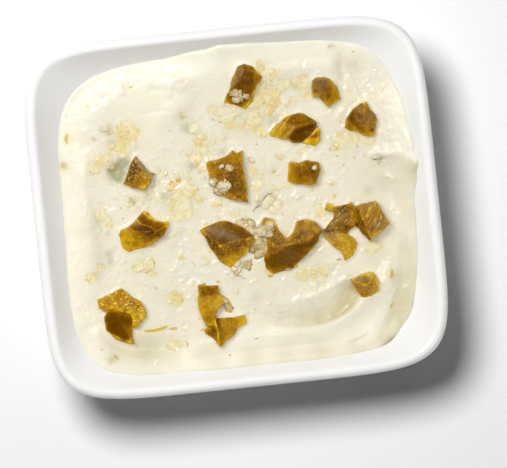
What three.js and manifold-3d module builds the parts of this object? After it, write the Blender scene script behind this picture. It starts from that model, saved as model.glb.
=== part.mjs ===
/**
 * Rounded rectangular porcelain dip bowl, filled with aioli and scattered with chopped green olives.
 * Millimetres, +Z up. The origin is the middle of the foot, on the table; X runs along the long sides.
 */
import * as THREE from 'three';
import { mergeVertices } from 'three/addons/utils/BufferGeometryUtils.js';
import Module from 'manifold-3d';

const wasm = await Module();
wasm.setup();

// ---- driving sizes of the bowl ----
const LENGTH = 105;
const WIDTH = 93.6;
const HEIGHT = 33;
const RIM_THICKNESS = 3.4;
const WALL_LEAN = THREE.MathUtils.degToRad(37);
const INSIDE = { floor: 5, floorHalf: 31, bend: 11 };
const OUTSIDE = { floor: 0.2, floorHalf: 33.5, bend: 12 };
const FOOT = { half: 27, width: 3.2, recess: 1.4, round: 0.5 };
const AROUND = 64;
const CORNER_CROWDING = 0.5;

// ---- worked-out sizes ----
const RIM_RADIUS = RIM_THICKNESS / 2;
const RIM_HALF = LENGTH / 2 - RIM_RADIUS;
const RIM_LEVEL = HEIGHT - RIM_RADIUS;
const SIDE_DIFFERENCE = (LENGTH - WIDTH) / 2;
const GAP = 0.3;
const WALL_GAP_RISE = 0.5;

/** Half the width across the short way, where half the length at that level is `half`. */
function shortHalf(half) {
  return half - SIDE_DIFFERENCE * Math.min(half / RIM_HALF, 1) ** 1.2;
}

/** How square the plan is at a given half length: nearly square at the rim, rounder below it. */
function squareness(half) {
  const inset = RIM_HALF - half;
  if (inset < 1) return 7.2 + 0.3 * inset;
  return 3.2 + 4.3 * Math.exp(-(((inset - 1) / 4.6) ** 1.2));
}

/** Distance from the middle to the plan outline of half length `half`, in a given direction. */
function planRadius(half, angle) {
  const power = squareness(half);
  const across = Math.abs(Math.cos(angle) / half) ** power;
  const along = Math.abs(Math.sin(angle) / shortHalf(half)) ** power;
  return (across + along) ** (-1 / power);
}

/** A wall that starts from a flat floor, bends up and leans out straight to its end point. */
function wall({ floor, floorHalf, bend }, end) {
  const climb = (half) => half - floorHalf + Math.hypot(half - floorHalf, bend);
  const slope = (end.y - floor) / (climb(end.x) - climb(0));
  return {
    end,
    heightAt: (half) => floor + slope * (climb(half) - climb(0)),
    halfAt: (height) => {
      const climbed = (height - floor) / slope + climb(0);
      return floorHalf + (climbed - bend ** 2 / climbed) / 2;
    },
  };
}

const rimCentre = new THREE.Vector2(RIM_HALF, RIM_LEVEL);
const towardsInside = new THREE.Vector2(-Math.cos(WALL_LEAN), Math.sin(WALL_LEAN)).multiplyScalar(RIM_RADIUS);
const inside = wall(INSIDE, rimCentre.clone().add(towardsInside));
const outside = wall(OUTSIDE, rimCentre.clone().sub(towardsInside));

/** Points on a wall between two half lengths, in `steps` equal steps. */
function wallPoints({ heightAt }, from, to, steps) {
  return Array.from({ length: steps + 1 }, (_, i) => {
    const half = THREE.MathUtils.lerp(from, to, i / steps);
    return new THREE.Vector2(half, heightAt(half));
  });
}

/** Turns a profile round the axis; `shape` says where each profile point goes at each bearing. */
function turned(profile, shape) {
  const geometry = new THREE.LatheGeometry(profile, AROUND);
  const place = geometry.attributes.position;
  for (let i = 0; i < place.count; i += 1) {
    const turn = Math.atan2(place.getX(i), place.getZ(i));
    const angle = turn + (CORNER_CROWDING / 4) * Math.sin(4 * turn);
    const [radius, height] = shape(Math.hypot(place.getX(i), place.getZ(i)), place.getY(i), angle);
    place.setXYZ(i, radius * Math.cos(angle), radius * Math.sin(angle), height);
  }
  return geometry;
}

/** Manifold solid of a closed three.js geometry, made of its corners alone. */
function toSolid(geometry) {
  const bare = geometry.clone();
  bare.deleteAttribute('normal');
  bare.deleteAttribute('uv');
  const welded = mergeVertices(bare, 1e-4);
  const corners = Array.from(welded.index.array);
  const faces = [];
  for (let i = 0; i < corners.length; i += 3) {
    const [a, b, c] = corners.slice(i, i + 3);
    if (a !== b && b !== c && a !== c) faces.push(a, b, c);
  }
  return new wasm.Manifold(new wasm.Mesh({
    numProp: 3,
    vertProperties: Float32Array.from(welded.attributes.position.array),
    triVerts: Uint32Array.from(faces),
  }));
}

/** Three.js geometry of a Manifold solid. */
function toGeometry(solid) {
  const mesh = solid.getMesh();
  const geometry = new THREE.BufferGeometry();
  geometry.setAttribute('position', new THREE.BufferAttribute(mesh.vertProperties, 3));
  geometry.setIndex(new THREE.BufferAttribute(mesh.triVerts, 1));
  geometry.computeVertexNormals();
  return geometry;
}

/** Named piece of one solid with its own plain finish. */
function piece(name, geometry, color, roughness) {
  const mesh = new THREE.Mesh(geometry, new THREE.MeshStandardMaterial({ color, roughness, metalness: 0 }));
  mesh.name = name;
  return mesh;
}

// ---- bowl ----

/** The bowl's section, from the middle of the underside round the rim to the middle of the inside. */
function bowlProfile() {
  const inner = FOOT.half - FOOT.width;
  const foot = [
    [0, FOOT.recess],
    [inner - FOOT.round, FOOT.recess],
    [inner, FOOT.round],
    [inner + FOOT.round, 0],
    [FOOT.half - FOOT.round, 0],
    [FOOT.half, FOOT.round],
    [FOOT.half + 0.3, outside.heightAt(FOOT.half) - 0.6],
  ].map(([half, height]) => new THREE.Vector2(half, height));
  const rim = Array.from({ length: 5 }, (_, i) => {
    const turn = Math.PI * ((i + 1) / 6) - WALL_LEAN;
    return new THREE.Vector2(Math.cos(turn), Math.sin(turn)).multiplyScalar(RIM_RADIUS).add(rimCentre);
  });
  return [
    ...foot,
    ...wallPoints(outside, FOOT.half + 1.4, outside.end.x, 5),
    ...rim,
    ...wallPoints(inside, inside.end.x, 20, 5),
    new THREE.Vector2(0, INSIDE.floor),
  ];
}

/** The bowl: its section turned round, with the plan growing squarer towards the rim. */
function bowlGeometry() {
  return turned(bowlProfile(), (half, height, angle) => [half > 0 ? planRadius(half, angle) : 0, height]);
}

// ---- aioli ----

// How far the aioli's edge lies below the rim's middle line, by bearing in degrees round the bowl.
const EDGE_DEPTHS = [
  [-178, 4.3], [-160, 3.6], [-146, 3.2], [-134, 2.4], [-116, 2.6], [-90, 2.4], [-66, 2.2], [-50, 2.6],
  [-40, 3.9], [-30, 4.1], [-18, 3.5], [-4, 2.9], [5, 1.3], [8, 0.2], [12, 1.1], [22, 2.2], [35, 3.6],
  [48, 3.0], [66, 2.3], [84, 1.2], [90, 0.9], [96, 2.0], [112, 3.9], [130, 4.5], [150, 4.6], [170, 4.7],
];
const MIDDLE_DEPTH = 3.7;

// Marks of the spoon: start, middle and end places, half width, and height at the start and the end.
const SPOON_MARKS = [
  [[-40.5, 13], [-41.5, 0], [-40.5, -17], 4.0, 0.9, 0.9],
  [[-34, 2], [-35.4, -6], [-34.5, -14], 1.8, -0.9, -0.7],
  [[-35, 31], [-20, 33], [-5, 30], 7.5, 1.0, 1.1],
  [[-12, 28], [-17, 25], [-20, 21], 3.0, 0.7, 0.2],
  [[31.3, 39], [30.8, 35], [31.2, 30], 2.2, -0.9, -0.5],
  [[38, 34], [36, 31], [35, 28], 3.5, -0.6, -0.2],
  [[36.5, 8.5], [36.0, 3], [41, -1.5], 3.2, -1.3, -0.9],
  [[38.5, 10.2], [43, 9.4], [47.5, 8.6], 1.9, 0.9, 1.0],
  [[9.5, -29.8], [20, -29.4], [27.6, -25.8], 2.9, -0.6, -2.4],
  [[8, -25.2], [19, -24.4], [26.2, -20.2], 2.1, 0.6, 1.0],
  [[8, -33.2], [27, -34.4], [36.4, -22], 2.6, 0.6, 1.4],
  [[43.2, -18.5], [43, -29], [34.5, -36.2], 2.7, -1.6, -1.2],
  [[-28, -39.2], [0, -39.6], [27, -38.8], 1.9, -0.5, -0.6],
  [[-14, -36], [0, -34.8], [20, -36], 2.2, 0.5, 0.4],
  [[-33.5, -33.5], [-28, -34.6], [-20, -34], 2.8, -0.8, -0.9],
  [[-39.5, -29], [-39, -38.2], [-24, -38], 2.2, 0.7, 0.5],
];

/** Depth of the aioli's edge at a bearing in degrees, eased between the listed bearings. */
function edgeDepth(bearing) {
  const count = EDGE_DEPTHS.length;
  for (let i = 0; i < count; i += 1) {
    const [from, depth] = EDGE_DEPTHS[i];
    const [next, nextDepth] = EDGE_DEPTHS[(i + 1) % count];
    const span = (next - from + 360) % 360;
    const into = (bearing - from + 720) % 360;
    const eased = THREE.MathUtils.smoothstep(into / span, 0, 1);
    if (into <= span) return THREE.MathUtils.lerp(depth, nextDepth, eased);
  }
  return MIDDLE_DEPTH;
}

/** Height that one spoon mark adds at a place. */
function spoonMark([start, middle, end, halfWidth, startHeight, endHeight], x, y) {
  const curve = new THREE.QuadraticBezierCurve(...[start, middle, end].map((p) => new THREE.Vector2(...p)));
  let nearest = Infinity;
  let height = 0;
  curve.getPoints(14).forEach((point, i, all) => {
    const distance = Math.hypot(point.x - x, point.y - y);
    if (distance >= nearest) return;
    nearest = distance;
    height = THREE.MathUtils.lerp(startHeight, endHeight, i / (all.length - 1));
  });
  return height * Math.exp(-((nearest / halfWidth) ** 2));
}

/** Half length of the bowl's plan where the aioli's edge meets the wall, at a bearing. */
function edgeHalf(angle) {
  return inside.halfAt(RIM_LEVEL - edgeDepth(THREE.MathUtils.radToDeg(angle)) - WALL_GAP_RISE);
}

/** Height of the aioli's surface at a place. */
function aioliHeight(x, y) {
  const angle = Math.atan2(y, x);
  const depth = edgeDepth(THREE.MathUtils.radToDeg(angle));
  const reach = Math.hypot(x, y) / planRadius(edgeHalf(angle), angle);
  const atEdge = THREE.MathUtils.smoothstep(reach, 0.84, 1);
  const marks = SPOON_MARKS.reduce((sum, mark) => sum + spoonMark(mark, x, y), 0);
  return RIM_LEVEL - THREE.MathUtils.lerp(MIDDLE_DEPTH - marks, depth, atEdge);
}

/** The aioli: it fills the bowl, clear of its wall, up to the spooned surface. */
function aioliGeometry() {
  const steps = { wall: 5, surface: 14 };
  const outwards = (count) => Array.from({ length: count }, (_, i) => i / count);
  const below = outwards(steps.wall).map((share) => new THREE.Vector2(share, 0));
  const above = [...outwards(steps.surface), 1].map((share) => new THREE.Vector2(1 - share, 1));
  return turned([...below, ...above], (share, side, angle) => {
    const half = share * edgeHalf(angle);
    const radius = share > 0 ? planRadius(half, angle) : 0;
    const onWall = inside.heightAt(half) + WALL_GAP_RISE;
    return [radius, side > 0 ? aioliHeight(radius * Math.cos(angle), radius * Math.sin(angle)) : onWall];
  });
}

// ---- olive pieces ----

// Each piece: the tone of the side that shows; its outline seen from above; the round of the olive's
// skin, [x, y, radius, height of its crown]; and its knife cuts, [x, y, bearing that the cut falls
// towards, fall in degrees, height there]. Heights count from the aioli at the piece's middle.
const OLIVES = [
  {
    tone: 'skin',
    outline: [[-0.6, 27.4], [1.3, 30.4], [1.6, 32], [4, 36.5], [5.8, 37], [8, 36], [10.2, 33], [8.3, 30.2],
      [7, 26.8], [5.1, 25.1], [2, 26.6]],
    skin: [6.4, 32.6, 10, 2.9],
    cuts: [[4.8, 30.3, -112, 34, 2.5], [2.6, 34, 152, 52, 2.1], [9, 31, -24, 50, 2.1]],
  },
  {
    tone: 'skin',
    outline: [[22.6, 29], [22.8, 26.4], [23.9, 27], [26.5, 23.4], [29.9, 25.3], [29.6, 27.8], [27.8, 30.5],
      [25.8, 31.7], [24, 31.8], [22.9, 30.6]],
    skin: [25.6, 28, 9.5, 2.2],
    cuts: [[28, 26.8, -28, 38, 1.8], [25, 31, 100, 22, 1.6]],
  },
  {
    tone: 'skin',
    outline: [[30.2, 17.8], [31, 20.3], [32.8, 22.3], [34.8, 23.6], [36.6, 23.9], [37, 22.4], [38.4, 20.5],
      [38.8, 18.8], [38, 17], [37.8, 15.2], [36.2, 14.8], [34.9, 15.2], [33.6, 16.3], [32.3, 16.8],
      [31.5, 16.6]],
    skin: [33.8, 19.4, 9, 2.6],
    cuts: [[36.2, 19.5, -8, 24, 2.2]],
  },
  {
    tone: 'cut',
    outline: [[10.4, 18.1], [12.2, 20], [15.2, 22], [18.6, 22.9], [20.3, 22.4], [22, 20.9], [23.2, 19.8],
      [22.7, 18.6], [21, 16.6], [19.5, 15.6], [17.5, 15], [16, 15.3], [15.3, 16.2], [10.8, 17.3]],
    skin: [18.6, 16.4, 11, 2.7],
    cuts: [[14.8, 19, 160, 26, 2.4], [18.6, 19.4, 78, 20, 2.5]],
  },
  {
    tone: 'pale',
    outline: [[18.3, 15], [20.5, 16.2], [22.7, 18.6], [23.7, 18.6], [23.5, 15.2], [22, 13.6], [20.5, 14.4]],
    skin: [21.6, 15.6, 12, 1.3],
    cuts: [[22.4, 16.4, -60, 12, 1.2]],
  },
  {
    tone: 'cut',
    outline: [[14.9, 10.5], [17.2, 9.9], [19.7, 10.4], [22.7, 9.3], [22.9, 7.4], [21.3, 4], [18.4, 4.1],
      [15.5, 4.6], [13.9, 5.6], [14.6, 8.6]],
    skin: [18.2, 7.2, 13, 2.4],
    cuts: [[15.3, 7.5, 172, 40, 2.1], [21.6, 7, -12, 36, 2.1]],
  },
  {
    tone: 'cut',
    outline: [[-6.7, 12], [-6.3, 12.7], [-3.6, 12.9], [-1.6, 13.4], [-0.6, 13.8], [0.7, 15], [1.4, 14.1],
      [3.3, 14.7], [2.8, 12], [2.9, 9], [3.4, 5], [3, 0.9], [1.5, 1.6], [0, 1.8], [-2, 2.6], [-4.2, 3.8],
      [-5.3, 6], [-6.2, 8.4]],
    skin: [0.6, 8, 12, 2.5],
    cuts: [[-1.2, 8.5, 172, 14, 2.3]],
  },
  {
    tone: 'cut',
    outline: [[-24.6, 16.2], [-23.5, 14.5], [-21.4, 11.6], [-19.7, 10.8], [-21.3, 10.2], [-21.4, 9],
      [-23.1, 7], [-25.5, 7.7], [-28.6, 9], [-27, 12.2], [-26, 14.3]],
    skin: [-24.6, 12, 12, 2.2],
    cuts: [[-26.5, 11.6, 155, 46, 1.9], [-23.2, 11, -50, 13, 2.0]],
  },
  {
    tone: 'cut',
    outline: [[-31.1, -3.8], [-30.6, -2.7], [-28.3, -2], [-26.5, -0.6], [-24.3, 1.7], [-23, 1.3],
      [-21.8, -0.6], [-20.2, -1.5], [-18, -1.8], [-17.9, -2.6], [-19.5, -5.3], [-22, -6.6], [-24.5, -7.7],
      [-29.2, -8.6], [-30.6, -7.5]],
    skin: [-23.4, -1.6, 11, 2.9],
    cuts: [[-23.5, -2.4, -125, 20, 2.8], [-21.3, -2.8, 52, 24, 2.6]],
  },
  {
    tone: 'skin',
    outline: [[-10, -4.8], [-7.4, -3.7], [-4.5, -3.1], [-2, -3.5], [0.2, -4.6], [3.4, -7.6], [3.6, -8.8],
      [2.3, -11.3], [-0.4, -13.3], [-3, -15.6], [-5.6, -13.5], [-7.6, -10.3], [-9, -6.6]],
    skin: [-3.6, -7.2, 13, 3.1],
    cuts: [[-7, -8, -132, 42, 2.4], [-0.6, -8.6, -82, 26, 2.9], [-2.5, -4.6, 72, 38, 2.6]],
  },
  {
    tone: 'skin',
    outline: [[4.4, -7], [5.1, -5.9], [6.1, -4.2], [6.9, -3.2], [9.5, -3.9], [10.5, -7], [12, -9.5],
      [14, -7.9], [15.3, -5.2], [17.7, -4.8], [20.5, -6.2], [21.5, -7.9], [19.9, -11.4], [16.2, -14.6],
      [12.8, -17.4], [9, -18], [7.4, -18.5], [5.8, -16.4], [5.5, -14.3], [6.8, -11.8], [6.9, -8.4]],
    skin: [13, -9, 12.5, 4.0],
    cuts: [[13.5, -12.7, 96, 22, 3.2]],
  },
  {
    tone: 'cut',
    outline: [[30.7, -2.9], [32.5, -2.5], [36.2, -2.2], [37.3, -4], [38.4, -6.5], [39.4, -8.3],
      [35.6, -11.1], [33.4, -12.2], [32, -10.5], [30.6, -8.3], [30.4, -6.9]],
    skin: [35, -6, 16, 3.3],
    cuts: [[32.2, -6.6, 194, 52, 3.0], [36, -8, -48, 12, 3.0]],
  },
  {
    tone: 'cut',
    outline: [[29.9, -1.4], [28.6, -2.2], [25.4, -2.3], [23.6, -1.1], [22.9, -3], [25, -3.6], [25, -5.3],
      [22, -8.4], [25.8, -8.6], [28, -9.6], [30.4, -7.3], [30.2, -3]],
    skin: [27.6, -5, 12, 2.4],
    cuts: [[26, -3.4, 110, 30, 2.0]],
  },
  {
    tone: 'pale',
    outline: [[21.9, -9], [25.7, -8.6], [27.7, -9.4], [29.6, -11], [30.4, -12.4], [30, -14], [28.9, -15.6],
      [26.5, -16.6], [26.3, -14.8], [25.6, -13.8], [23.6, -12], [22.1, -10.4]],
    skin: [26.4, -11.6, 11, 1.7],
    cuts: [],
  },
  {
    tone: 'cut',
    outline: [[27.6, -21.6], [30.4, -20.8], [32.5, -20.3], [33.6, -20.5], [34.4, -22.3], [34.8, -23.4],
      [34.6, -25.6], [33.6, -26.4], [32.2, -27], [30.3, -27.1], [29.3, -25.5], [28.3, -23.4]],
    skin: [31.3, -23.2, 10, 2.8],
    cuts: [[29.6, -23.6, -140, 34, 2.3], [32.2, -24.2, -62, 24, 2.5], [31, -22, 68, 20, 2.6]],
  },
  {
    tone: 'skin',
    outline: [[-35.8, -23], [-34.5, -23], [-32.3, -24.2], [-30.6, -25], [-30.1, -26], [-30.4, -29.5],
      [-30, -32.6], [-32.3, -32], [-34.6, -31], [-36.9, -28.4], [-37.2, -26], [-37.2, -24.6]],
    skin: [-33, -26.6, 9.5, 3.0],
    cuts: [[-34.6, -29.8, -125, 30, 2.2]],
  },
  {
    tone: 'pale',
    outline: [[-38.5, -20.2], [-34, -18.5], [-31.7, -17.8], [-28.8, -20.8], [-27.2, -21.7], [-26.5, -23.2],
      [-26.1, -25.6], [-27.8, -27.3], [-28.4, -28.2], [-30.4, -28.4], [-31.5, -25.5], [-36.2, -23.4],
      [-38.3, -22.1]],
    skin: [-31.5, -22, 14, 1.9],
    cuts: [],
  },
  {
    tone: 'cut',
    outline: [[-8.5, -28], [-4.1, -28.4], [-0.6, -28], [-0.3, -30], [-2.9, -31.1], [-3.8, -32.8],
      [-6, -34.2], [-8, -35.8], [-9.7, -33], [-11.4, -32], [-11.7, -30.8], [-9, -30]],
    skin: [-6.6, -30.6, 12, 2.5],
    cuts: [[-8.4, -31.5, 172, 40, 2.1], [-4.4, -30.4, -14, 16, 2.2]],
  },
  {
    tone: 'pale',
    outline: [[-12.1, -18.8], [-9.5, -19.4], [-6.8, -19.6], [-6.6, -21.6], [-5.8, -24.2], [-6.3, -25],
      [-7.5, -25.4], [-8.3, -27.5], [-9, -29.6], [-11, -29.9], [-11.9, -27.5], [-12.5, -24.5],
      [-12.2, -21.5]],
    skin: [-9.6, -24, 14, 2.1],
    cuts: [[-9.4, -19.9, 84, 40, 1.6]],
  },
];
const OLIVE_SUNK = 2.2;
const OLIVE_TONES = { skin: 0x764706, cut: 0x9c6a0c, pale: 0xbb8a12 };
const OLIVE_ROUGHNESS = 0.35;

/** The outline grown outwards by a distance, corner by corner. */
function grown(outline, distance) {
  const turnSum = THREE.ShapeUtils.area(outline.map(([x, y]) => new THREE.Vector2(x, y)));
  const side = Math.sign(turnSum);
  return outline.map(([x, y], i) => {
    const [ax, ay] = outline.at(i - 1);
    const [bx, by] = outline[(i + 1) % outline.length];
    const into = new THREE.Vector2(x - ax, y - ay).normalize();
    const out = new THREE.Vector2(bx - x, by - y).normalize();
    const miter = into.clone().add(out).normalize();
    const stretch = distance / Math.max(miter.dot(into), 0.5);
    return [x + side * miter.y * stretch, y - side * miter.x * stretch];
  });
}

/** Upright block with the given outline between two heights. */
function block(outline, bottom, top) {
  const shape = new THREE.Shape(outline.map(([x, y]) => new THREE.Vector2(x, y)));
  const geometry = new THREE.ExtrudeGeometry(shape, { depth: top - bottom, bevelEnabled: false });
  geometry.translate(0, 0, bottom);
  return toSolid(geometry);
}

/** Level of the aioli at the middle of an outline. */
function levelUnder(outline) {
  const x = outline.reduce((sum, point) => sum + point[0], 0) / outline.length;
  const y = outline.reduce((sum, point) => sum + point[1], 0) / outline.length;
  return aioliHeight(x, y);
}

/** Room that a piece takes up, with a clear gap all round, from below it to above the rim. */
function room({ outline }) {
  return block(grown(outline, GAP), levelUnder(outline) - OLIVE_SUNK - GAP, HEIGHT + 1);
}

/** One chopped piece: its outline, rounded by the olive's skin and cut by the knife. */
function oliveSolid({ outline, skin, cuts }) {
  const level = levelUnder(outline);
  const [skinX, skinY, radius, crown] = skin;
  const ball = new THREE.SphereGeometry(radius, 24, 16);
  ball.translate(skinX, skinY, level + crown - radius);
  let solid = block(outline, level - OLIVE_SUNK, HEIGHT).intersect(toSolid(ball));
  cuts.forEach(([x, y, bearing, fall, height]) => {
    const [towards, slope] = [bearing, fall].map(THREE.MathUtils.degToRad);
    const flat = Math.sin(slope);
    const down = new THREE.Vector3(-flat * Math.cos(towards), -flat * Math.sin(towards), -Math.cos(slope));
    solid = solid.trimByPlane(down.toArray(), down.dot(new THREE.Vector3(x, y, level + height)));
  });
  return solid;
}

// ---- assembly ----

const group = new THREE.Group();
group.add(piece('bowl', bowlGeometry(), 0xf4f3f0, 0.12));

let aioli = toSolid(aioliGeometry());
const rooms = OLIVES.map(room);
rooms.forEach((space) => {
  aioli = aioli.subtract(space);
});
group.add(piece('aioli', toGeometry(aioli), 0xf3edd4, 0.3));

OLIVES.forEach((olive, i) => {
  const solid = rooms.slice(0, i).reduce((left, space) => left.subtract(space), oliveSolid(olive));
  const name = `olive_${String(i + 1).padStart(2, '0')}`;
  group.add(piece(name, toGeometry(solid), OLIVE_TONES[olive.tone], OLIVE_ROUGHNESS));
});

export default group;
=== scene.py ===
"""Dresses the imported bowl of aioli: porcelain bowl, spooned aioli, chopped green olives and garlic."""

from __future__ import annotations

import logging
from collections.abc import Iterable
from dataclasses import dataclass
from enum import Enum
from math import atan2, cos, exp, hypot, pi, radians, sin, tau
from random import Random

import bmesh
import bpy
import numpy as np
from bmesh import ops
from mathutils import Matrix, Vector, noise
from mathutils.bvhtree import BVHTree


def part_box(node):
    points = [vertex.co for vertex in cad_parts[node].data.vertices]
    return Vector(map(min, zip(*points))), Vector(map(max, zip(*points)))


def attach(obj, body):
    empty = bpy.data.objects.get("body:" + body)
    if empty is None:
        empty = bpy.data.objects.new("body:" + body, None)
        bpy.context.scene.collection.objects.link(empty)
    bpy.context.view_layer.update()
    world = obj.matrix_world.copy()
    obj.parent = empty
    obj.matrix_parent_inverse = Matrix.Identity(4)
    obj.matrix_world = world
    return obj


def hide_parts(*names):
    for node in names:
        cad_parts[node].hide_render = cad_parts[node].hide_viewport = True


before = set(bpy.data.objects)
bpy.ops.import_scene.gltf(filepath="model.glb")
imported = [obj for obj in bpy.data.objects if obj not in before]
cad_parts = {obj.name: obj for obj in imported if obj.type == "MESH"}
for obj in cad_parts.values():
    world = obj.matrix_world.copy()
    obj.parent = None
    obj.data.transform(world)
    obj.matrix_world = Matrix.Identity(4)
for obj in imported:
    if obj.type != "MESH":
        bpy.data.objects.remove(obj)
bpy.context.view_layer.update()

LOG = logging.getLogger("bowl_of_aioli")
MM = 0.001
BODY = "root"
Pair = tuple[float, float]
Colour = tuple[float, float, float, float]
Trees = list[BVHTree]
Array = np.ndarray
Object, Mesh, Material = bpy.types.Object, bpy.types.Mesh, bpy.types.Material
NodeTree, Node, Socket = bpy.types.NodeTree, bpy.types.Node, bpy.types.NodeSocket
Form, Edge, Vert = bmesh.types.BMesh, bmesh.types.BMEdge, bmesh.types.BMVert
PLACED: list[Object] = []


# ---- small helpers ----


def colour(red: float, green: float, blue: float) -> Colour:
    """Linear colour of a display colour given from 0 to 255."""
    linear = [(c / 255 / 12.92) if c < 11 else ((c / 255 + 0.055) / 1.055) ** 2.4 for c in (red, green, blue)]
    return (*linear, 1.0)


def eased(value: Array, low: float, high: float) -> Array:
    """Smooth step of a value from 0 at `low` to 1 at `high`."""
    share = np.clip((value - low) / (high - low), 0.0, 1.0)
    return share * share * (3 - 2 * share)


def unevenness(points: Array, size: float, octaves: int, shift: float) -> Array:
    """Smooth random field at some places."""
    offset = Vector((shift, -shift, 0.5 * shift))
    return np.array([noise.fractal(Vector(p) / size + offset, 1.0, 2.0, octaves) for p in points])


def rows_of(kind: type, pairs: int, *rows: tuple[float, ...]) -> tuple:
    """Things of one kind from plain rows of numbers."""
    cut = 2 * pairs
    return tuple(kind(*zip(row[:cut:2], row[1:cut:2]), *row[cut:]) for row in rows)


def coordinates(mesh: Mesh) -> Array:
    """Vertex places of a mesh, one row each."""
    places = np.empty(len(mesh.vertices) * 3)
    mesh.vertices.foreach_get("co", places)
    return places.reshape(-1, 3)


def set_coordinates(mesh: Mesh, places: Array) -> None:
    """Moves the vertices of a mesh to new places."""
    mesh.vertices.foreach_set("co", places.astype(np.float32).ravel())
    mesh.update()


def set_attribute(mesh: Mesh, name: str, values: Array) -> None:
    """Keeps a number or a place in mm for each vertex under a name that materials read.

    Args:
        mesh: The mesh.
        name: The name.
        values: One number or one row of three for each vertex.
    """
    kind, field = ("FLOAT", "value") if values.ndim == 1 else ("FLOAT_VECTOR", "vector")
    layer = mesh.attributes.new(name, kind, "POINT")
    layer.data.foreach_set(field, values.astype(np.float32).ravel())


def each(things: Iterable, what: str) -> Array:
    """One value of each thing, such as the place of each vertex, one row each."""
    return np.array([getattr(thing, what) for thing in things])


def total(things: Iterable, x: Array, y: Array) -> Array:
    """What marks or spots add together at some places."""
    return sum((thing.at(x, y) for thing in things), np.zeros_like(x))


def only(kind: type, items: list) -> list:
    """The items of one kind, in their order."""
    return [item for item in items if isinstance(item, kind)]


def add_object(name: str, data: bpy.types.ID) -> Object:
    """Adds an object with its data to the scene."""
    made = bpy.data.objects.new(name, data)
    bpy.context.scene.collection.objects.link(made)
    return made


def mesh_from(form: Form, name: str) -> Mesh:
    """Turns a bmesh in mm into a smooth shaded mesh in metres.

    Args:
        form: The bmesh, which is freed.
        name: Name of the mesh.

    Returns:
        The mesh.
    """
    ops.scale(form, vec=(MM,) * 3, verts=form.verts)
    for face in form.faces:
        face.smooth = True
    mesh = bpy.data.meshes.new(name)
    form.to_mesh(mesh)
    form.free()
    return mesh


def place_piece(name: str, mesh: Mesh, material: Material, slot: str, *stands_for: str) -> Object:
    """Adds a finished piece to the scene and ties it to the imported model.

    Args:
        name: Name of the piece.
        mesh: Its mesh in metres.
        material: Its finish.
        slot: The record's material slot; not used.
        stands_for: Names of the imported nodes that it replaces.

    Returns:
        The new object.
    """
    piece = add_object(name, mesh)
    mesh.materials.clear()
    mesh.materials.append(material)
    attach(piece, BODY)
    if stands_for:
        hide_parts(*stands_for)
    PLACED.append(piece)
    LOG.info("%s: %d faces", name, len(mesh.polygons))
    return piece


# ---- bowl shape ----


@dataclass(frozen=True)
class WallCurve:
    """Section of a wall that leaves a flat floor, bends up and leans out straight; sizes in mm."""

    floor: float
    floor_half: float
    bend: float
    end_half: float
    end_height: float

    def climb(self, half: Array) -> Array:
        """Unscaled rise of the curve at a half length."""
        return half - self.floor_half + np.hypot(half - self.floor_half, self.bend)

    @property
    def slope(self) -> float:
        """Height gained for each unit of climb."""
        return (self.end_height - self.floor) / (self.climb(self.end_half) - self.climb(0.0))

    def height_at(self, half: Array) -> Array:
        """Height of the wall at a half length."""
        return self.floor + self.slope * (self.climb(half) - self.climb(0.0))

    def half_at(self, height: Array) -> Array:
        """Half length of the plan where the wall reaches a height."""
        climbed = (height - self.floor) / self.slope + self.climb(0.0)
        return self.floor_half + (climbed - self.bend**2 / climbed) / 2


@dataclass(frozen=True)
class BowlShape:
    """Sizes of the rounded rectangular bowl in mm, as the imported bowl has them."""

    length: float
    width: float
    height: float
    rim_thickness: float = 3.4
    wall_lean: float = radians(37)
    foot_half: float = 27.0
    foot_width: float = 3.2
    foot_recess: float = 1.4
    foot_round: float = 0.5

    @classmethod
    def of_packed_bowl(cls) -> BowlShape:
        """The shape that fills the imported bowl's box."""
        low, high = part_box("bowl")
        return cls(*(side / MM - 0.02 for side in (high - low)))

    @property
    def rim_radius(self) -> float:
        """Radius of the rounded rim."""
        return self.rim_thickness / 2

    @property
    def rim_half(self) -> float:
        """Half length to the middle of the rim."""
        return self.length / 2 - self.rim_radius

    @property
    def rim_level(self) -> float:
        """Height of the middle of the rim."""
        return self.height - self.rim_radius

    def _wall(self, floor: float, floor_half: float, bend: float, side: float) -> WallCurve:
        """Wall that ends where the rim's round takes over, on one side of the rim."""
        reach = side * self.rim_radius
        end_half = self.rim_half - reach * cos(self.wall_lean)
        return WallCurve(floor, floor_half, bend, end_half, self.rim_level + reach * sin(self.wall_lean))

    @property
    def inside(self) -> WallCurve:
        """The wall that holds the aioli."""
        return self._wall(5.0, 31.0, 11.0, 1.0)

    @property
    def outside(self) -> WallCurve:
        """The wall seen from outside."""
        return self._wall(0.2, 33.5, 12.0, -1.0)

    def plan_radius(self, half: Array, angle: Array) -> Array:
        """Distance from the middle to the plan outline.

        Args:
            half: Half length of the outline.
            angle: Direction in radians.

        Returns:
            The distance in mm.
        """
        half = np.maximum(half, 1e-6)
        inset = self.rim_half - half
        below = 3.2 + 4.3 * np.exp(-((np.maximum(inset - 1, 0.0) / 4.6) ** 1.2))
        power = np.where(inset < 1, 7.2 + 0.3 * inset, below)
        short = half - (self.length - self.width) / 2 * np.minimum(half / self.rim_half, 1.0) ** 1.2
        across = np.abs(np.cos(angle) / half) ** power
        along = np.abs(np.sin(angle) / short) ** power
        return (across + along) ** (-1 / power)


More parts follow.
